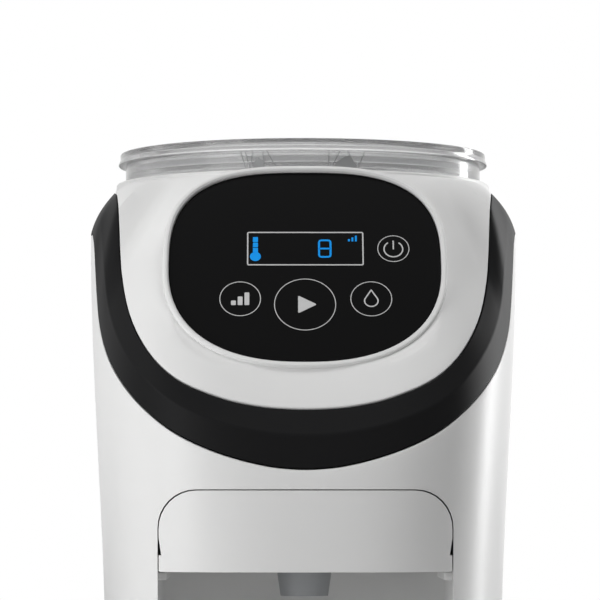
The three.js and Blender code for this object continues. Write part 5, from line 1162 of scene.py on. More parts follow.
@dataclass
class Casing:
    """The white shells, the dark collar, the surround with its bezel, and the feet.

    Attributes:
        opening_half: Half of the bay opening's width.
        opening_low: Lower edge of the opening.
        opening_high: Upper edge of the opening.
        lip: Rounding of the shell's edge at the collar.
        foot_round: Rounding of the shell's lower edge.
        ledge_round: Rounding of the ledge that carries the tank.
        ledge_wall: Thickness of that ledge.
        vents: Number of vents in the rear.
        vent_pitch: Distance from vent to vent.
        vent_height: Height of a vent.
        vent_low: Height of the lowest vent's lower edge.
        rear_depth: Limits of the cutters of the rear wall, from front to back.
        dock: Place of the tank's dock from front to back.
        collar_wall: Thickness of the collar.
        side_start: Share of a quarter turn where the collar's front form starts to fade.
        side_span: Share of a quarter turn over which it fades.
        ridge_out: Place of the collar's ridge across it, in front and at the sides, as shares.
        ridge_down: Height of the ridge, in front and at the sides, as shares.
        ridge_half: Half of the ridge's rounding, as a share of the section.
        skin: Distances in and down from the surround's outside to its inside.
        deck_round: Rounding between the slanted face and the deck.
        bezel_proud: Height of the bezel above the face.
    """

    opening_half: float = 54.0
    opening_low: float = 9.7
    opening_high: float = 196.0
    lip: float = 1.1
    foot_round: float = 1.2
    ledge_round: float = 2.0
    ledge_wall: float = 3.0
    vents: int = 6
    vent_pitch: float = 6.0
    vent_height: float = 2.6
    vent_low: float = 62.0
    rear_depth: tuple[float, float] = (127.0, 150.0)
    dock: float = 110.0
    collar_wall: float = 2.3
    side_start: float = 0.28
    side_span: float = 0.42
    ridge_out: tuple[float, float] = (0.94, 0.64)
    ridge_down: tuple[float, float] = (0.437, 0.48)
    ridge_half: float = 0.06
    skin: tuple[float, float] = (2.2, 2.0)
    deck_round: float = 1.2
    bezel_proud: float = 1.9

    def opening(self, inset: float) -> Solid:
        """Return the cutter of the bay opening.

        Args:
            inset: Distance in from the opening's edge.

        Returns:
            The cutter, from front to back.
        """
        half = self.opening_half - inset
        low, high = self.opening_low + inset, self.opening_high - inset
        plan = rounded_plan((-half, half), (low, high), 4.0, 14.0)
        return slab(plan, 0.0, -AHEAD).placed(Matrix.Rotation(QUARTER, 4, "X"))

    def wall_band(self) -> Solid:
        """Return the shell's wall as a closed band.

        Returns:
            The closed band.
        """
        sections = []
        for angle in circle(FORM.steps):
            outside, inside = FORM.skin(angle, 0.0), FORM.skin(angle, FORM.wall)
            section = outside + inside[::-1]
            edge = len(outside)
            sections.append(soften(section, {0: self.foot_round, edge - 1: self.lip, edge: 0.4}))
        return loft_ring(sections)

    def front_shell(self) -> None:
        """Build the front shell with the bay opening."""
        piece = mesh_object("shell_front", self.wall_band())
        carve(piece, Cut.KEEP, brick((-FAR, FAR), (-FAR, FORM.seam), (-FAR, 2 * FAR)))
        carve(piece, Cut.TAKE, self.opening(0.0))
        settle(piece, WHITE, "machine", "front_shell")

    def rear_shell(self) -> None:
        """Build the rear shell with the ledge for the tank."""
        steps, radius, foot = 5, self.ledge_round, self.foot_round
        levels = [(FORM.foot, foot), (FORM.foot + foot, 0.0)]
        levels += [(z, 0.0) for z in range(15, 91, 15)]
        for turn in (QUARTER * step / steps for step in range(steps + 1)):
            z = FORM.ledge - radius + radius * math.sin(turn)
            levels.append((z, radius * (1 - math.cos(turn))))
        inner_levels = [(z, 0.0) for z in (-20, 3, 20, 40, 60, 80, FORM.ledge - self.ledge_wall)]
        piece = mesh_object("shell_rear", self.wall_band())
        carve(piece, Cut.JOIN, FORM.tub_solid(0.0, levels))
        carve(piece, Cut.TAKE, FORM.tub_solid(FORM.wall, inner_levels))
        carve(piece, Cut.KEEP, brick((-FAR, FAR), (FORM.seam + FIT, FAR), (-FAR, 2 * FAR)))
        carve(piece, Cut.TAKE, *self.rear_openings())
        settle(piece, WHITE, "machine", "rear_shell")

    def rear_openings(self) -> list[Solid]:
        """Return the cutters of the vents, the inlet and the tank's dock.

        Returns:
            The cutters, in the order in which they cut.
        """
        cutters = []
        for i in range(self.vents):
            low = self.vent_low + self.vent_pitch * i
            cutters.append(slot_along_y((-22, 22), (low, low + self.vent_height), self.rear_depth))
        inlet = slot_along_y((-12.3, 12.3), (26.1, 45.7), self.rear_depth)
        return [*cutters, inlet, rod(13.9, 92, 120, self.dock, 64)]

    def collar_section(self, angle: float, steps: int) -> list[Vector]:
        """Return the collar's outside from the shell up to the surround.

        Args:
            angle: Angle from the front.
            steps: Number of steps.

        Returns:
            The points of the outside.
        """
        top = inward(FORM.inner_edge(angle), -SLIDE, SLIDE)
        bottom = inward(FORM.outer_edge(angle), 0.0, -SLIDE)
        side = smooth((FORM.share(angle) - self.side_start) / self.side_span)
        out, down = mix(*self.ridge_out, side), mix(*self.ridge_down, side)
        half = self.ridge_half
        ridge = Vector((
            mix(top.x, bottom.x, out), mix(top.y, bottom.y, out), mix(top.z, bottom.z, down),
        ))
        control = ridge * 2 - (top + bottom) / 2
        points = []
        for step in range(steps + 1):
            along = step / steps
            rounded = bezier(bottom, control, top, along)
            low = bottom.lerp(ridge, 2 * along)
            high = ridge.lerp(top, 2 * along - 1)
            sharp = low.lerp(high, smooth((along - 0.5 + half) / (2 * half)))
            points.append(sharp.lerp(rounded, side))
        return points

    def collar(self) -> None:
        """Build the dark collar."""
        sections = []
        steps, low_drop, high_drop, edge = 32, 0.6, 2.0, 0.5
        for angle in circle(FORM.steps):
            outside = self.collar_section(angle, steps)
            back = [
                inward(p, self.collar_wall, mix(low_drop, high_drop, i / steps))
                for i, p in enumerate(outside)
            ]
            sections.append(soften(outside + back[::-1], {0: edge, steps: edge}))
        make("collar_ring", loft_ring(sections), COLLAR, "machine", "collar")

    def surround_section(self, angle: float, steps: int = 24) -> list[Vector]:
        """Return the surround's outside from the collar to the hole.

        Args:
            angle: Angle from the front.
            steps: Steps of the slanted face.

        Returns:
            The points, ending at the hole.
        """
        low, deck = FORM.inner_edge(angle), FORM.deck_edge(angle)
        edge = inward(deck, 0.0, self.deck_round)
        reach, deck_reach = math.hypot(low.x, low.y), math.hypot(deck.x, deck.y)
        rise = (edge.z - low.z) * 0.75
        bend = max(deck_reach, reach - rise * FORM.slope / max(math.cos(angle), 0.15))
        control = Vector((low.x * bend / reach, low.y * bend / reach, low.z + rise))
        face = [bezier(low, control, edge, step / steps) for step in range(steps)]
        flat = inward(deck, self.deck_round, 0.0)
        corner = [bezier(edge, deck, flat, step / 5) for step in range(6)]
        radius = FORM.hole_radius
        hole = Vector((radius * math.sin(angle), -radius * math.cos(angle), FORM.deck))
        return face + corner + [hole]

    def surround(self) -> None:
        """Build the white surround with the raised bezel and the panel's seat."""
        sections = []
        across, down = self.skin
        for angle in circle(FORM.steps):
            outside = self.surround_section(angle)
            inside = [inward(p, across, down) for p in outside[:-1]]
            section = outside + [outside[-1] - Vector((0, 0, down))] + inside[-2::-1]
            sections.append(soften(section, {0: 0.8, len(outside) - 1: 0.5}))
        piece = mesh_object("surround_bezel", loft_ring(sections))
        face = FORM.face
        carve(piece, Cut.TAKE, slab(FORM.panel_outline(1.2, 0.65), -14, 5).placed(face))
        dish = (
            (2.6, 2.2, 0.7), (4.0, 3.6, 1.0), (6.5, 6.0, 1.8), (10.0, 9.0, 3.4), (10.0, 9.0, 9.0),
        )
        trough = loft_stack([
            [Vector((p.x, p.y, z)) for p in FORM.panel_outline(side, top)] for side, top, z in dish
        ])
        carve(piece, Cut.TAKE, trough.placed(face))
        carve(piece, Cut.JOIN, self.bezel_ring().placed(face))
        carve(piece, Cut.TAKE, rod(FORM.hole_radius, 0, 335, steps=FORM.steps))
        settle(piece, WHITE, "machine", "head_surround")
        make("panel_seat", self.seat().placed(face), INNER, "machine")

    def bezel_ring(self) -> Solid:
        """Return the raised rim round the panel, as a closed ring.

        Returns:
            The rim, in the frame of the face.
        """
        proud = self.bezel_proud
        rings = [
            (2.5, 2.1, -9.0), (2.5, 2.1, proud - 0.7), (2.46, 2.06, proud - 0.45),
            (2.3, 1.9, proud - 0.2), (2.05, 1.7, proud - 0.05), (1.8, 1.45, proud),
            (1.3, 1.1, proud), (0.9, 0.8, proud - 0.1), (0.3, 0.3, proud - 0.8),
            (0.3, 0.3, -2.3), (-1.2, -1.2, -2.5), (-3.0, -3.0, -4.8), (-3.0, -3.0, -9.0),
        ]
        outlines = [(FORM.panel_outline(side, top), z) for side, top, z in rings]
        count = len(outlines[0][0])
        sections = [
            [Vector((outline[i].x, outline[i].y, z)) for outline, z in outlines] for i in range(count)
        ]
        return loft_ring(sections)

    @staticmethod
    def seat() -> Solid:
        """Return the plate behind the panel."""
        return slab(FORM.panel_outline(-0.8, -0.8), -4.7, -2.4)

    def feet(self) -> None:
        """Build the four rubber feet."""
        profile = [(0, 0), (8.6, 0), (9.0, 1.2), (9.0, 4.7), (0, 4.7)]
        for name in ("foot_front_left", "foot_front_right", "foot_rear_left", "foot_rear_right"):
            low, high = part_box(name)
            x, y = (low[0] + high[0]) / 2 / MM, (low[1] + high[1]) / 2 / MM
            solid = lathe(profile, x, y, 64, {1: 0.8, 2: 0.8})
            make(f"pad_{name[5:]}", solid, RUBBER, "machine", name)

    def build(self) -> None:
        """Build every piece of the casing."""
        self.front_shell()
        self.rear_shell()
        self.collar()
        self.surround()
        self.feet()


# Control panel


@dataclass
class ControlPanel:
    """The glossy lens with its printed rings, signs and lit display.

    Attributes:
        line: Width of the printed lines.
        lift: Thickness of the print.
        bold: Width of the lines of the signs.
        glass: Thickness of the lens.
        rim: Rounding of the lens.
        window: Half width and half height of the display window, and its height on the panel.
        start_key: Place and radius of the start key's ring, as for each key below.
        scoop_key: The key that sets the strength of the mix.
        drop_key: The key that sets the amount of water.
        power_key: The power key.
    """

    line: float = 0.3
    lift: float = 0.04
    bold: float = 0.5
    glass: float = 2.0
    rim: float = 0.25
    window: tuple[float, float, float] = (21.6, 7.35, 7.9)
    start_key: tuple[float, float, float] = (0.0, -17.2, 11.35)
    scoop_key: tuple[float, float, float] = (-24.1, -14.7, 7.55)
    drop_key: tuple[float, float, float] = (24.6, -14.7, 7.6)
    power_key: tuple[float, float, float] = (33.2, 7.9, 5.85)

    def lens(self) -> None:
        """Build the lens with a softened rim."""
        plate = slab(FORM.panel_outline(0.0, 0.0), -self.glass, 0.0, self.rim)
        make("panel_lens", plate.placed(FORM.face), LENS, "machine", "control_panel")

    @staticmethod
    def arc(x: float, y: float, radius: float, start: float, end: float, steps: int = 64) -> list[Vector]:
        """Return points of an arc, with its angles in degrees."""
        turns = [math.radians(mix(start, end, i / steps)) for i in range(steps + 1)]
        return [Vector((x + radius * math.cos(a), y + radius * math.sin(a), 0)) for a in turns]

    def ring(self, x: float, y: float, radius: float) -> Solid:
        """Return a printed circle."""
        return ribbon(self.arc(x, y, radius, 0, 360, 96)[:-1], self.line, self.lift, True)

    def stroke(self, *points: tuple[float, float], width: float = 0.0, closed: bool = False) -> Solid:
        """Return a printed line through points."""
        line = [Vector((x, y, 0)) for x, y in points]
        return ribbon(line, width or self.line, self.lift, closed)

    def patch(self, points: Sequence[Vector]) -> Solid:
        """Return a filled printed shape."""
        return slab(points, 0.0, self.lift)

    def keys(self) -> Solid:
        """Return the printed rings and their signs.

        Returns:
            The print, in the frame of the face.
        """
        half, tall, mid = self.window
        frame_line = rounded_plan((-half + 0.2, half + 0.2), (mid - tall, mid + tall), 0.5, 0.5, 4)
        print_ = ribbon(frame_line, self.bold, self.lift, True)
        keys = (
            (self.start_key, self.start_sign), (self.scoop_key, self.scoop_sign),
            (self.drop_key, self.drop_sign), (self.power_key, self.power_sign),
        )
        for place, _ in keys:
            print_ = print_.add(self.ring(*place))
        for (x, y, _), sign in keys:
            print_ = print_.add(sign(x, y))
        return print_

    def start_sign(self, x: float, y: float) -> Solid:
        """Return a triangle that points right."""
        corners = [Vector((x - 2.6, y - 4.0, 0)), Vector((x + 4.4, y, 0)), Vector((x - 2.6, y + 4.0, 0))]
        return self.patch(soften(corners, {0: 0.8, 1: 0.8, 2: 0.8}))

    def scoop_sign(self, x: float, y: float) -> Solid:
        """Return three bars of rising height, for the strength of the mix.

        Args:
            x: Place of its middle across the panel.
            y: Place of its middle up the panel.

        Returns:
            The sign.
        """
        bars = Solid()
        for i in range(3):
            left = x - 3.4 + i * 2.5
            plan = rounded_plan((left, left + 1.8), (y - 2.8, y - 2.8 + 2.0 + i * 1.8), 0.3, 0.3, 3)
            bars = bars.add(self.patch(plan))
        return bars

    def drop_sign(self, x: float, y: float) -> Solid:
        """Return a drop of water in outline.

        Args:
            x: Place of its middle across the panel.
            y: Place of its middle up the panel.

        Returns:
            The sign.
        """
        round_part = self.arc(x, y - 0.9, 2.5, -215, 35, 40)
        tip = Vector((x, y + 4.0, 0))
        left, right = round_part[0], round_part[-1]
        up = [bezier(right, Vector((x + 1.2, y + 1.9, 0)), tip, i / 8) for i in range(1, 9)]
        down = [bezier(tip, Vector((x - 1.2, y + 1.9, 0)), left, i / 8) for i in range(1, 8)]
        return ribbon(round_part + up + down, self.bold, self.lift, True)

    def power_sign(self, x: float, y: float) -> Solid:
        """Return the open circle and bar of a power key."""
        circle_part = ribbon(self.arc(x, y - 0.2, 3.5, 125, 415, 60), self.bold, self.lift, False)
        return circle_part.add(self.stroke((x, y - 0.3), (x, y + 3.6), width=self.bold))

    def display(self) -> Solid:
        """Return the lit thermometer, the figure and the level sign.

        Returns:
            The lit marks, in the frame of the face.
        """
        mid = self.window[2]
        lit = self.thermometer(-18.5, mid).add(self.figure(7.5, mid, 2.15, 3.75))
        for i in range(3):
            left = 16.6 + i * 1.3
            lit = lit.add(self.stroke((left, 11.2), (left, 12.2 + i * 0.8), width=0.7))
        return lit

    def thermometer(self, x: float, y: float) -> Solid:
        """Return a bulb with a stem in three pieces.

        Args:
            x: Place of its middle across the panel.
            y: Place of its middle up the panel.

        Returns:
            The sign.
        """
        bulb = self.patch(self.arc(x, y - 3.6, 2.05, 0, 360, 32)[:-1])
        stem, half, corner = Solid(), 0.95, 0.15
        for low, high in ((-1.9, 0.3), (0.6, 2.7), (3.0, 5.2)):
            plan = rounded_plan((x - half, x + half), (y + low, y + high), corner, corner, 2)
            stem = stem.add(self.patch(plan))
        return bulb.add(stem)

    def figure(self, x: float, y: float, half: float, tall: float) -> Solid:
        """Return a seven-bar eight in outline.

        Args:
            x: Place of its middle across the panel.
            y: Place of its middle up the panel.
            half: Half of its width.
            tall: Half of its height.

        Returns:
            The figure.
        """
        corners = [
            Vector((x + half, y - tall, 0)), Vector((x + half, y + tall, 0)),
            Vector((x - half, y + tall, 0)), Vector((x - half, y - tall, 0)),
        ]
        bar = 0.75
        box = ribbon(soften(corners, {i: 1.0 for i in range(4)}, 3), bar, self.lift, True)
        return box.add(self.stroke((x - half, y), (x + half, y), width=bar))

    def build(self) -> None:
        """Build the lens, the print and the display marks."""
        self.lens()
        lifted = FORM.face @ Matrix.Translation((0, 0, 0.01))
        # The print carries a faint painted glow of its own.
        make("panel_print", self.keys().placed(lifted), PRINT_PAINTED_GLOW, "machine")
        make("display_marks", self.display().placed(lifted), BLUE, "machine")


# Powder side


@dataclass
class PowderSide:
    """The clear container with its lid, and what turns in it.

    Attributes:
        radius: Outer radius of the container.
        floor: Height of the container's underside.
        top: Height of its rim.
        lid_top: Height of the lid's top.
        wall: Thickness of the container's wall.
        bottom: Thickness of its floor.
        bore: Radius of the hole for the drive.
        play: Gap between the wall and the lid's plug.
        lid_radius: Radius of the lid's edge.
        lid_wall: Thickness of the lid.
        dish: Depth of the lid's dished top.
        flare: How far the lid's foot stands out.
        rib_low: Height of the ribs' lower ends.
        rib_high: Height of the bars' upper ends.
        hub_low: Height of the agitator's underside.
        hub: Height of its hub.
        fins: Number of its fins.
        fin_half: Half of a fin's thickness.
        fin_reach: Reach of a fin.
    """

    radius: float = 70.9
    floor: float = 236.3
    top: float = 325.1
    lid_top: float = 330.0
    wall: float = 2.0
    bottom: float = 3.0
    bore: float = 9.0
    play: float = 0.9
    lid_radius: float = 73.05
    lid_wall: float = 2.2
    dish: float = 6.5
    flare: float = 0.7
    rib_low: float = 318.6
    rib_high: float = 325.2
    hub_low: float = 248.0
    hub: float = 14.0
    fins: int = 3
    fin_half: float = 1.3
    fin_reach: float = 60.0

    def container(self) -> None:
        """Build the container."""
        inner, bed = self.radius - self.wall, self.floor + self.bottom
        profile = [
            (self.bore, self.floor), (self.radius, self.floor), (self.radius, self.top),
            (inner, self.top), (inner, bed), (self.bore, bed),
        ]
        solid = lathe(profile, steps=192, radii={1: 1.5, 2: 0.5, 3: 0.5, 4: 2.0})
        piece = mesh_object("container_cup", solid)
        carve(piece, Cut.TAKE, brick((-8, 8), (-62, -46), (230, 240)))
        settle(piece, SMOKE, "powder_container", "powder_container")
        make("wall_ribs", self.ribs(), FROST, "powder_container")

    def lid(self) -> None:
        """Build the lid with its dished top and handle bar."""
        top, wall = self.lid_top, self.lid_wall
        edge, foot, under = self.lid_radius, self.lid_radius + self.flare, self.top + FIT
        dish = top - self.dish
        plug = self.radius - self.wall - self.play
        plug_inner, plug_end = plug - 3, under - 6
        groove, groove_top = plug - 1.2, under - 1.5
        groove_low = groove_top - 2.7
        profile = [
            (0, dish), (55, dish), (60, top), (edge, top), (edge, under + 2.2),
            (foot, under + 0.7), (foot, under), (plug, under), (plug, groove_top),
            (groove, groove_top), (groove, groove_low), (plug, groove_low), (plug, plug_end),
            (plug_inner, plug_end), (plug_inner, top - wall), (61.1, top - wall),
            (56.1, dish - wall), (0, dish - wall),
        ]
        rounds = {
            1: 2.5, 2: 1.6, 3: 0.5, 4: 0.3, 5: 0.3, 6: 0.3, 12: 0.4, 13: 0.4, 14: 0.6, 15: 1.2,
            16: 2.0,
        }
        radii = {len(profile) - 1 - corner: size for corner, size in rounds.items()}
        piece = mesh_object("lid_cap", lathe(profile[::-1], steps=192, radii=radii))
        bar = brick((-52, 52), (-6, 6), (dish - wall / 2, top - 0.5), 1.2, 5.9)
        carve(piece, Cut.JOIN, bar)
        settle(piece, SMOKE, "powder_lid", "powder_lid")

    def ribs(self) -> Solid:
        """Return the slanted bars and the two wedges on the container's wall.

        Returns:
            The ribs as one set of plates.
        """
        bars = (
            (-24.3, -22.2), (-22.6, -20.6), (-19.6, -20.6), (-15.8, -15.4), (-14.2, -10.6),
            (9.5, 9.2), (13.6, 10.3), (16.6, 20.2), (23.2, 20.4),
        )
        low, high, half = self.rib_low, self.rib_high, 0.2
        outlines = [
            [(foot - half, low), (foot + half, low), (head + half, high), (head - half, high)]
            for head, foot in bars
        ]
        outlines += [
            [(-19.2, low), (-15.5, low), (-15.2, 321.4), (-17.4, 322.8), (-19.5, 320.8)],
            [(11.2, low), (19.8, low), (19.4, 320.8), (17.2, 323.6), (15.6, 323.2), (12.3, 321.0)],
        ]
        ribs = Solid()
        for outline in outlines:
            layers = [
                [Vector((x, -math.sqrt(reach * reach - x * x), z)) for x, z in outline]
                for reach in (self.radius + 0.2, self.radius - 0.1)
            ]
            ribs = ribs.add(loft_stack(layers))
        return ribs

    def seal(self) -> None:
        """Build the ring seal of the lid."""
        low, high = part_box("lid_seal")
        outer, z0, z1 = high[0] / MM, low[2] / MM, high[2] / MM
        inner = outer - 1.4
        profile = [(inner, z0), (outer, z0), (outer, z1), (inner, z1)]
        ring = lathe(profile, steps=160, radii={1: 0.8, 2: 0.8})
        make("seal_ring", ring, SILICONE, "powder_lid", "lid_seal")

    def agitator(self) -> None:
        """Build the hub with its three fins."""
        z, half, reach, edge = self.hub_low, self.fin_half, self.fin_reach, 0.7
        profile = [(0, z), (10, z), (10, z + self.hub), (0, z + self.hub)]
        piece = mesh_object("stirring_fins", lathe(profile, steps=72, radii={1: 0.6, 2: 2.0}))
        bar = brick((3, reach), (-half, half), (z + 5, z + 13), edge)
        post = brick((48, reach), (-half, half), (z + 5, z + 49), edge)
        for angle in circle(self.fins):
            turn = Matrix.Rotation(angle, 4, "Z")
            carve(piece, Cut.JOIN, bar.placed(turn), post.placed(turn))
        carve(piece, Cut.TAKE, brick((-4.3, 4.3), (-4.3, 4.3), (231, 245.4)))
        settle(piece, GREY, "stirrer", "agitator")

    def build(self) -> None:
        """Build every piece of the powder side."""
        self.container()
        self.lid()
        self.seal()
        self.agitator()
        refine("dosing_wheel", "metering_wheel", GREY, "stirrer", 0.4)
        refine("scraper_blade", "powder_scraper", GREY, "powder_container", 0.3)
        refine("well_cup", "container_well", INNER, "machine", 0.4)
        refine("chute", "powder_chute", INNER, "machine", 0.4)


# Bottle bay


@dataclass
class BottleBay:
    """The bay with its drawer, funnel, drip tray, grille and bottle stand.

    Attributes:
        half: Half of the bay's width.
        back: Place of its back wall.
        corner: Radius of its back corners.
        wall: Thickness of its wall.
        bottle: Place of the bottle's axis.
        block_front: Place where a block of the bay ends before the shell's form trims it.
        lining: Limits of the lining's height.
        floor: Height of the lining's floor.
        high: Height above every piece of the bay.
        drawer_height: Limits of the drawer's height.
        shelf: Height of the drawer's shelf under the funnel.
        tray_height: Limits of the tray's height.
        tray_floor: Height of the tray's floor.
        grille: Limits of the grille's height.
        slots: Number of the grille's slots.
        slot_pitch: Distance from slot to slot.
        slot_half: Half of a slot's width.
        stand_low: Height of the stand's underside.
        stand_high: Height of its rim.
        arm_half: Half of the arm's width.
        nozzle_place: Place of the nozzle's axis.
    """

    half: float = 54.0
    back: float = -26.0
    corner: float = 30.0
    wall: float = 2.4
    bottle: float = -72.0
    block_front: float = -145.0
    lining: tuple[float, float] = (7.3, 196.7)
    floor: float = 9.4
    high: float = 205.0
    drawer_height: tuple[float, float] = (166.0, 195.6)
    shelf: float = 168.5
    tray_height: tuple[float, float] = (10.0, 22.0)
    tray_floor: float = 12.0
    grille: tuple[float, float] = (22.3, 24.3)
    slots: int = 11
    slot_pitch: float = 7.4
    slot_half: float = 1.7
    stand_low: float = 24.6
    stand_high: float = 29.0
    arm_half: float = 7.8
    nozzle_place: float = -92.0

    def plan(self, inset: float, front: float, steps: int = 24) -> list[Vector]:
        """Return the bay's plan, drawn in by an inset.

        Args:
            inset: Distance in from the walls.
            front: Place of the front edge.
            steps: Steps of each corner.

        Returns:
            The points, anticlockwise.
        """
        half, corner = self.half - inset, self.corner - inset
        y = self.back - inset - corner
        points = [Vector((-half, front, 0)), Vector((half, front, 0))]
        for x, turn in ((half - corner, 0), (corner - half, 1)):
            for step in range(steps + 1):
                angle = (turn + step / steps) * QUARTER
                points.append(Vector((x + corner * math.cos(angle), y + corner * math.sin(angle), 0)))
        return points

    def liner(self) -> None:
        """Build the bay's lining with its rails and guides."""
        piece = mesh_object("bay_lining", slab(self.plan(-self.wall, AHEAD), *self.lining))
        carve(piece, Cut.KEEP, FORM.skin_solid(FORM.wall + FIT))
        carve(piece, Cut.TAKE, slab(self.plan(0.0, AHEAD), self.floor, self.high))
        rail_top = self.drawer_height[0] - FIT
        rails = pair(self.half - 3, self.half + 1.2, (-112, -58), (rail_top - 3, rail_top), 0.6)
        guide = self.arm_half + SLIDE
        guides = pair(guide, guide + 3, (-32, -24.8), (self.stand_low, 150), 0.8)
        for rail, guide in zip(rails, guides):
            carve(piece, Cut.JOIN, rail, guide)
        settle(piece, INNER, "machine", "bay_liner")

    def front_box(
        self, name: str, casing: Casing, height: tuple[float, float], edge: float,
    ) -> bpy.types.Object:
        """Make a full block of the bay that ends flush with the shell.

        Args:
            name: Name of the block.
            casing: The casing whose opening it closes.
            height: Limits of its height.
            edge: Radius of its rims.

        Returns:
            The block.
        """
        piece = mesh_object(name, slab(self.plan(SLIDE, self.block_front), *height, edge))
        carve(piece, Cut.KEEP, FORM.skin_solid(0.0), casing.opening(SLIDE))
        return piece

    def hollow_out(self, piece: bpy.types.Object, floor: float, high: float) -> None:
        """Take the room inside out of a block that front_box made.

        Args:
            piece: The block.
            floor: Height of the room's floor.
            high: Height of the cutter's top.
        """
        room = mesh_object("hollow", slab(self.plan(SLIDE + self.wall, AHEAD), floor, high))
        carve(room, Cut.KEEP, FORM.skin_solid(FORM.wall))
        combine(piece, Cut.TAKE, room)

    def drawer(self, casing: Casing) -> None:
        """Build the drawer that carries the funnel.

        Args:
            casing: The casing whose opening it closes.
        """
        piece = self.front_box("funnel_drawer", casing, self.drawer_height, 0.6)
        self.hollow_out(piece, self.shelf, self.high)
        seat_top, steps = 172.0, 72
        carve(piece, Cut.TAKE, brick((-60, 60), (-123.1, -20), (seat_top, self.high)))
        profile = [(14.2, 167), (17.2, 167), (17.2, seat_top), (14.2, seat_top)]
        carve(piece, Cut.JOIN, lathe(profile, 0, self.bottle, steps, {2: 0.6, 3: 0.6}))
        carve(piece, Cut.TAKE, rod(11.4, 160, self.shelf + FIT, self.bottle, steps))
        settle(piece, WHITE, "funnel_drawer", "funnel_cover")

    def funnel(self) -> None:
        """Build the mixing funnel."""
        profile = [
            (9, 156), (11, 170), (33, 187), (33, 190), (31, 190), (31, 188), (9, 171), (7, 156),
        ]
        solid = lathe(profile, 0, self.bottle, 128, {1: 3.0, 2: 0.8, 3: 0.5, 4: 0.5, 5: 0.5, 6: 3.0})
        make("mixing_cone", solid, GREY, "funnel_drawer", "mixing_funnel")

    def tray(self, casing: Casing) -> None:
        """Build the drip tray and its grille.

        Args:
            casing: The casing whose opening it closes.
        """
        above = 30.0
        piece = self.front_box("tray", casing, self.tray_height, 0.5)
        self.hollow_out(piece, self.tray_floor, above)
        settle(piece, WHITE, "drip_tray", "drip_tray")
        form = slab(self.plan(2 * SLIDE, self.block_front), *self.grille, 0.4)
        plate = mesh_object("tray_grille", form)
        carve(plate, Cut.KEEP, FORM.skin_solid(SLIDE))
        half, end = self.slot_half, self.slot_half - 0.05
        for i in range(self.slots):
            x = (i - (self.slots - 1) / 2) * self.slot_pitch
            outline = rounded_plan((x - half, x + half), (-119.2, -38), end, end, 6)
            carve(plate, Cut.TAKE, slab(outline, 18, above))
        settle(plate, STEEL, "drip_tray", "drip_grille")

    def stand(self) -> None:
        """Build the height-adjustable bottle stand."""
        low, high, half, edge = self.stand_low, self.stand_high, self.arm_half, 0.6
        dish, back = high - 0.6, self.back - FIT
        disc = [(0, low), (34, low), (34, high), (30, high), (29.2, dish), (0, dish)]
        piece = mesh_object("bottle_rest", lathe(disc, 0, self.bottle, 128, {1: 0.6, 2: 1.0, 3: 0.4}))
        arm = brick((-half, half), (-55, back), (low, high), edge)
        upright = brick((-half, half), (back - 6, back), (low, high + 20), edge)
        carve(piece, Cut.JOIN, arm, upright)
        settle(piece, WHITE, "bottle_stand", "bottle_stand")

    def nozzle(self) -> None:
        """Build the water nozzle."""
        bore, stem, flange = 2.2, 5, 8
        profile = [
            (bore, 191), (stem, 191), (stem, 200.3), (flange, 200.3), (flange, 202.3),
            (stem, 202.3), (stem, 206), (bore, 206),
        ]
        solid = lathe(profile, 0, self.nozzle_place, 48, {0: 0.3, 1: 1.2, 3: 0.3, 4: 0.3})
        make("nozzle", solid, SILICONE, "machine", "water_nozzle")

    def build(self, casing: Casing) -> None:
        """Build every piece of the bay.

        Args:
            casing: The casing round the bay.
        """
        self.liner()
        self.drawer(casing)
        self.funnel()
        self.tray(casing)
        self.stand()
        self.nozzle()


# Water side


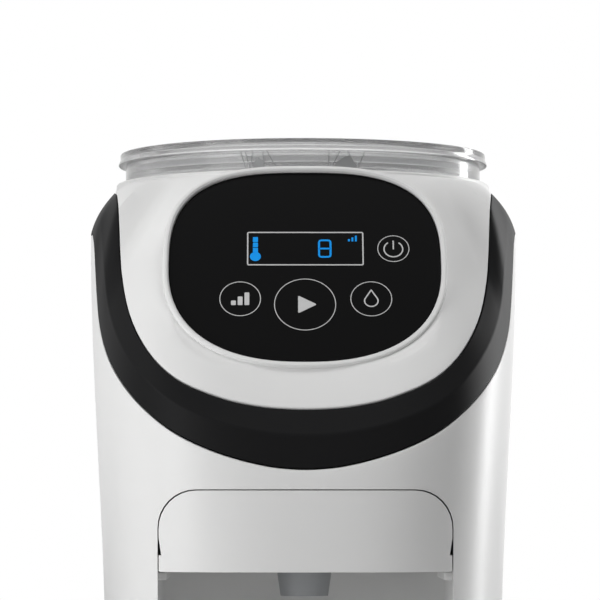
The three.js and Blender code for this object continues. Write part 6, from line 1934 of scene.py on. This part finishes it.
@dataclass
class WaterSide:
    """The rear tank with its lid, and the pieces that carry the water.

    Attributes:
        front: Front face of the tank.
        low: Height of its underside.
        top: Height of its rim.
        wall: Thickness of its wall.
        pin: Place and height of the lid's pin.
        knuckle: Radius of the barrel and half of an ear's width.
        ear: Near and far side of an ear, out from the middle.
        gap: Gap between the ears and the lid.
        pin_bore: Radius of the hole for the pin.
        lid: Limits of the lid's height.
        across: Half width of the cutters that pass the tank's sides.
        spigot: Place of the spigot from front to back.
    """

    front: float = 88.8
    low: float = 110.3
    top: float = 306.0
    wall: float = 2.2
    pin: tuple[float, float] = (127.0, 311.8)
    knuckle: float = 3.5
    ear: tuple[float, float] = (19.9, 26.9)
    gap: float = 0.5
    pin_bore: float = 1.8
    lid: tuple[float, float] = (306.3, 309.3)
    across: float = 90.0
    spigot: float = 110.0

    def plan(self, inset: float, steps: int = 64) -> list[Vector]:
        """Return the tank's plan, drawn in by an inset.

        Args:
            inset: Distance in from the outside.
            steps: Steps of the curved rear.

        Returns:
            The points, anticlockwise.
        """
        set_back, bevel = 1.2, 0.06
        plan = FORM.tub_waist_plan.inset(set_back + inset)
        front = self.front + inset
        start = QUARTER + math.atan2(front, plan.half_width) + bevel
        rear = [plan.point(mix(start, TAU - start, step / steps)) for step in range(steps + 1)]
        half = rear[0].x - abs(rear[0].x) * bevel
        points = [Vector((-half, front, 0)), Vector((half, front, 0)), *rear]
        return soften(points, {0: 3.0, 1: 3.0, 2: 2.0, len(points) - 1: 2.0})

    def across_rod(self, half: float, radius: float, sides: int) -> Solid:
        """Return a rod along the axis of the lid's pin."""
        return tube([Vector((-half, *self.pin)), Vector((half, *self.pin))], radius, sides)

    def tank(self) -> None:
        """Build the tank with its spigot and the ears of its lid."""
        piece = mesh_object("tank_body", slab(self.plan(0.0), self.low, self.top, 1.2))
        carve(piece, Cut.TAKE, slab(self.plan(self.wall), self.low + 3.0, self.top + 10))
        under = self.top - 3
        bridge = mesh_object("bridge", slab(self.plan(0.0), under, self.top))
        carve(bridge, Cut.KEEP, brick((-self.across, self.across), (122, 140), (290, 320)))
        combine(piece, Cut.JOIN, bridge)
        (y, z), r = self.pin, self.knuckle
        carve(piece, Cut.JOIN, *pair(*self.ear, (y - r, y + r), (under, z + r), 0.8))
        profile = [(0, 100.3), (8, 100.3), (8, 112), (0, 112)]
        carve(piece, Cut.JOIN, lathe(profile, 0, self.spigot, 72, {1: 0.8}))
        pin_hole = self.across_rod(self.across, self.pin_bore, 24)
        bore, seat = rod(5, 102.7, 120, self.spigot), rod(3, 95, 110, self.spigot)
        carve(piece, Cut.TAKE, pin_hole, bore, seat)
        settle(piece, CLEAR, "water_tank", "water_tank")

    def flap(self) -> None:
        """Build the tank's lid with its barrel and grip."""
        (y, z), r = self.pin, self.knuckle
        reach = (300, 320)
        barrel_half, notch_end = self.ear[0] - self.gap, self.ear[1] + self.gap
        piece = mesh_object("tank_flap", slab(self.plan(0.0), *self.lid, 0.8))
        carve(piece, Cut.KEEP, brick((-self.across, self.across), (80, y), reach))
        carve(piece, Cut.TAKE, *pair(barrel_half, notch_end, (119.7, 135), reach))
        web = brick((-barrel_half, barrel_half), (y - r, y), (self.lid[0], z))
        barrel = self.across_rod(barrel_half, r, 40)
        grip = brick((-15, 15), (91.8, 95.8), (307.8, 312.8), 1.2, 1.9)
        carve(piece, Cut.JOIN, web, barrel, grip)
        carve(piece, Cut.TAKE, self.across_rod(self.across, self.pin_bore, 24))
        settle(piece, SMOKE, "tank_lid", "tank_lid")
        make("flap_pin", self.across_rod(27, 1.5, 32), STEEL, "water_tank", "tank_lid_pin")

    def build(self) -> None:
        """Build every piece of the water side."""
        self.tank()
        self.flap()
        refine("valve", "tank_valve", SILICONE, "tank_valve", 0.3)
        refine("dock_cup", "tank_dock", GREY, "machine", 0.4)
        refine("dock_ring", "dock_seal", SILICONE, "machine", 0.4)
        refine("pump", "water_pump", DARK, "machine", 0.6)
        refine("heater", "water_heater", ALUMINIUM, "machine", 0.6)
        for name in ("tank_to_pump", "pump_to_heater", "heater_to_nozzle"):
            refine(f"pipe_{name}", f"hose_{name}", SILICONE, "machine", 0.0)


# Works inside the casing


@dataclass
class Works:
    """The drive, the boards and the fasteners.

    Attributes:
        edge: Width of the softened edges of the larger pieces.
        fine: Width of those of the boards and the output gear.
        small: Width of those of the springs and the screws.
    """

    edge: float = 0.35
    fine: float = 0.15
    small: float = 0.3

    def build(self) -> None:
        """Dress every inner piece."""
        wide, fine = self.edge, self.fine
        pieces = (
            ("gearbox", "gearbox_housing", INNER, "machine", wide),
            ("drive_wheel", "output_gear", GREY, "output_gear", fine),
            ("bushing", "output_bushing", BRASS, "machine", wide),
            ("pinion", "motor_pinion", BRASS, "motor_pinion", 0.1),
            ("motor", "drive_motor", STEEL, "machine", wide),
            ("shelf", "mechanism_plate", INNER, "machine", wide),
            ("floor_plate", "base_plate", DARK, "machine", wide),
            ("control_board", "main_board", BOARD, "machine", fine),
            ("supply_board", "power_supply", BOARD, "machine", fine),
            ("inlet", "power_inlet", DARK, "machine", wide),
            ("key_board", "panel_board", BOARD, "machine", fine),
            ("display_unit", "display_module", DISPLAY, "machine", fine),
        )
        for piece in pieces:
            refine(*piece)
        for key in ("start", "powder", "volume", "power"):
            refine(f"spring_{key}", f"touch_spring_{key}", STEEL, "machine", self.small)
        for number in range(1, 5):
            refine(f"screw_{number}", f"base_screw_{number}", STEEL, "machine", self.small)


# Studio


@dataclass(frozen=True)
class Lamp:
    """A soft lamp.

    Attributes:
        title: Name of the lamp.
        place: Where it stands, in metres.
        size: Width and height, in metres.
        power: Power in watts.
        mirrored: Whether glossy pieces show it.
    """

    title: str
    place: tuple[float, float, float]
    size: tuple[float, float]
    power: float
    mirrored: bool = True

    def build(self, aim: Vector) -> None:
        """Make the lamp and turn it towards a point.

        Args:
            aim: The point that it lights.
        """
        data = bpy.data.lights.new(self.title, "AREA")
        data.shape = "RECTANGLE"
        data.size, data.size_y = self.size
        data.energy = self.power
        lamp = bpy.data.objects.new(self.title, data)
        lamp.location = self.place
        lamp.visible_transmission = False
        lamp.visible_glossy = self.mirrored
        lamp.rotation_euler = (aim - Vector(self.place)).to_track_quat("-Z", "Y").to_euler()
        bpy.context.scene.collection.objects.link(lamp)


@dataclass
class Studio:
    """The floor, the world, the lamps and the camera.

    Attributes:
        ambient: Brightness of the world for the object.
        floor_reach: How far the floor reaches from the middle, in millimetres.
        fade: Distances where the floor starts and ends its fade into white.
        lens: Focal length of the camera, in millimetres.
        place: Where the camera stands.
        pitch: How far it looks up, in degrees.
        yaw: How far it looks to its left, in degrees.
        aim: The point that the lamps light.
        lamps: The lamps.
    """

    ambient: float = 0.13
    floor_reach: float = 6000.0
    fade: tuple[float, float] = (0.25, 0.9)
    lens: float = 214.5
    place: tuple[float, float, float] = (-0.012, -1.430, 0.1922)
    pitch: float = 3.2
    yaw: float = -0.4375
    aim: tuple[float, float, float] = (0.0, 0.0, 0.2)
    lamps: tuple[Lamp, ...] = (
        Lamp("Left softbox", (-0.40, -0.37, 0.30), (0.25, 0.52), 1.65),
        Lamp("Right strip", (0.85, 0.60, 0.46), (0.2, 0.85), 7.2),
        Lamp("Top softbox", (0.35, -0.30, 1.4), (0.6, 0.6), 7.2, False),
    )

    def world(self) -> None:
        """Set a plain world that shows white behind the object."""
        world = bpy.data.worlds.new("Studio")
        bpy.context.scene.world = world
        world.use_nodes = True
        nodes, links = world.node_tree.nodes, world.node_tree.links
        nodes.clear()
        out = nodes.new("ShaderNodeOutputWorld")
        blend = nodes.new("ShaderNodeMixShader")
        soft, white = nodes.new("ShaderNodeBackground"), nodes.new("ShaderNodeBackground")
        soft.inputs["Color"].default_value = (1, 1, 1, 1)
        soft.inputs["Strength"].default_value = self.ambient
        white.inputs["Color"].default_value = (1, 1, 1, 1)
        white.inputs["Strength"].default_value = 1.0
        path = nodes.new("ShaderNodeLightPath")
        seen = path.outputs["Is Camera Ray"]
        for ray in ("Is Glossy Ray", "Is Transmission Ray"):
            either = nodes.new("ShaderNodeMath")
            either.operation = "MAXIMUM"
            links.new(seen, either.inputs[0])
            links.new(path.outputs[ray], either.inputs[1])
            seen = either.outputs[0]
        links.new(seen, blend.inputs["Fac"])
        links.new(soft.outputs[0], blend.inputs[1])
        links.new(white.outputs[0], blend.inputs[2])
        links.new(blend.outputs[0], out.inputs["Surface"])

    def floor(self) -> None:
        """Lay a pale floor that fades into the white behind."""
        reach = self.floor_reach
        corners = ((-reach, -reach), (reach, -reach), (reach, reach), (-reach, reach))
        piece = mesh_object("floor", Solid([Vector((x, y, 0)) for x, y in corners], [(0, 1, 2, 3)]))
        material = bpy.data.materials.new("Pale floor")
        material.use_nodes = True
        nodes, links = material.node_tree.nodes, material.node_tree.links
        shader, out = nodes["Principled BSDF"], nodes["Material Output"]
        shader.inputs["Base Color"].default_value = (0.82, 0.82, 0.82, 1)
        shader.inputs["Roughness"].default_value = 0.6
        shader.inputs["Specular IOR Level"].default_value = 0.2
        glow = nodes.new("ShaderNodeEmission")
        blend = nodes.new("ShaderNodeMixShader")
        place = nodes.new("ShaderNodeTexCoord")
        length = nodes.new("ShaderNodeVectorMath")
        length.operation = "LENGTH"
        fade = nodes.new("ShaderNodeMapRange")
        fade.interpolation_type = "SMOOTHSTEP"
        fade.inputs["From Min"].default_value, fade.inputs["From Max"].default_value = self.fade
        path = nodes.new("ShaderNodeLightPath")
        both = nodes.new("ShaderNodeMath")
        both.operation = "MULTIPLY"
        links.new(place.outputs["Object"], length.inputs[0])
        links.new(length.outputs["Value"], fade.inputs["Value"])
        links.new(fade.outputs["Result"], both.inputs[0])
        links.new(path.outputs["Is Camera Ray"], both.inputs[1])
        links.new(both.outputs[0], blend.inputs["Fac"])
        links.new(shader.outputs["BSDF"], blend.inputs[1])
        links.new(glow.outputs["Emission"], blend.inputs[2])
        links.new(blend.outputs[0], out.inputs["Surface"])
        piece.data.materials.append(material)

    def camera(self) -> None:
        """Place the camera as in the photograph."""
        data = bpy.data.cameras.new("Camera")
        data.sensor_width = 36.0
        data.lens = self.lens
        data.clip_end = 30
        camera = bpy.data.objects.new("Camera", data)
        camera.location = self.place
        camera.rotation_euler = (math.radians(90 + self.pitch), 0, math.radians(self.yaw))
        bpy.context.scene.collection.objects.link(camera)
        bpy.context.scene.camera = camera

    def build(self) -> None:
        """Set up the scene round the object."""
        bpy.context.scene.view_settings.view_transform = "Standard"
        self.world()
        self.floor()
        self.camera()
        for lamp in self.lamps:
            lamp.build(Vector(self.aim))


def main() -> None:
    """Build the studio and every sub-assembly in order."""
    logging.basicConfig(level=logging.INFO, format="%(message)s")
    Studio().build()
    casing = Casing()
    casing.build()
    ControlPanel().build()
    PowderSide().build()
    BottleBay().build(casing)
    WaterSide().build()
    Works().build()


if __name__ == "__main__":
    main()
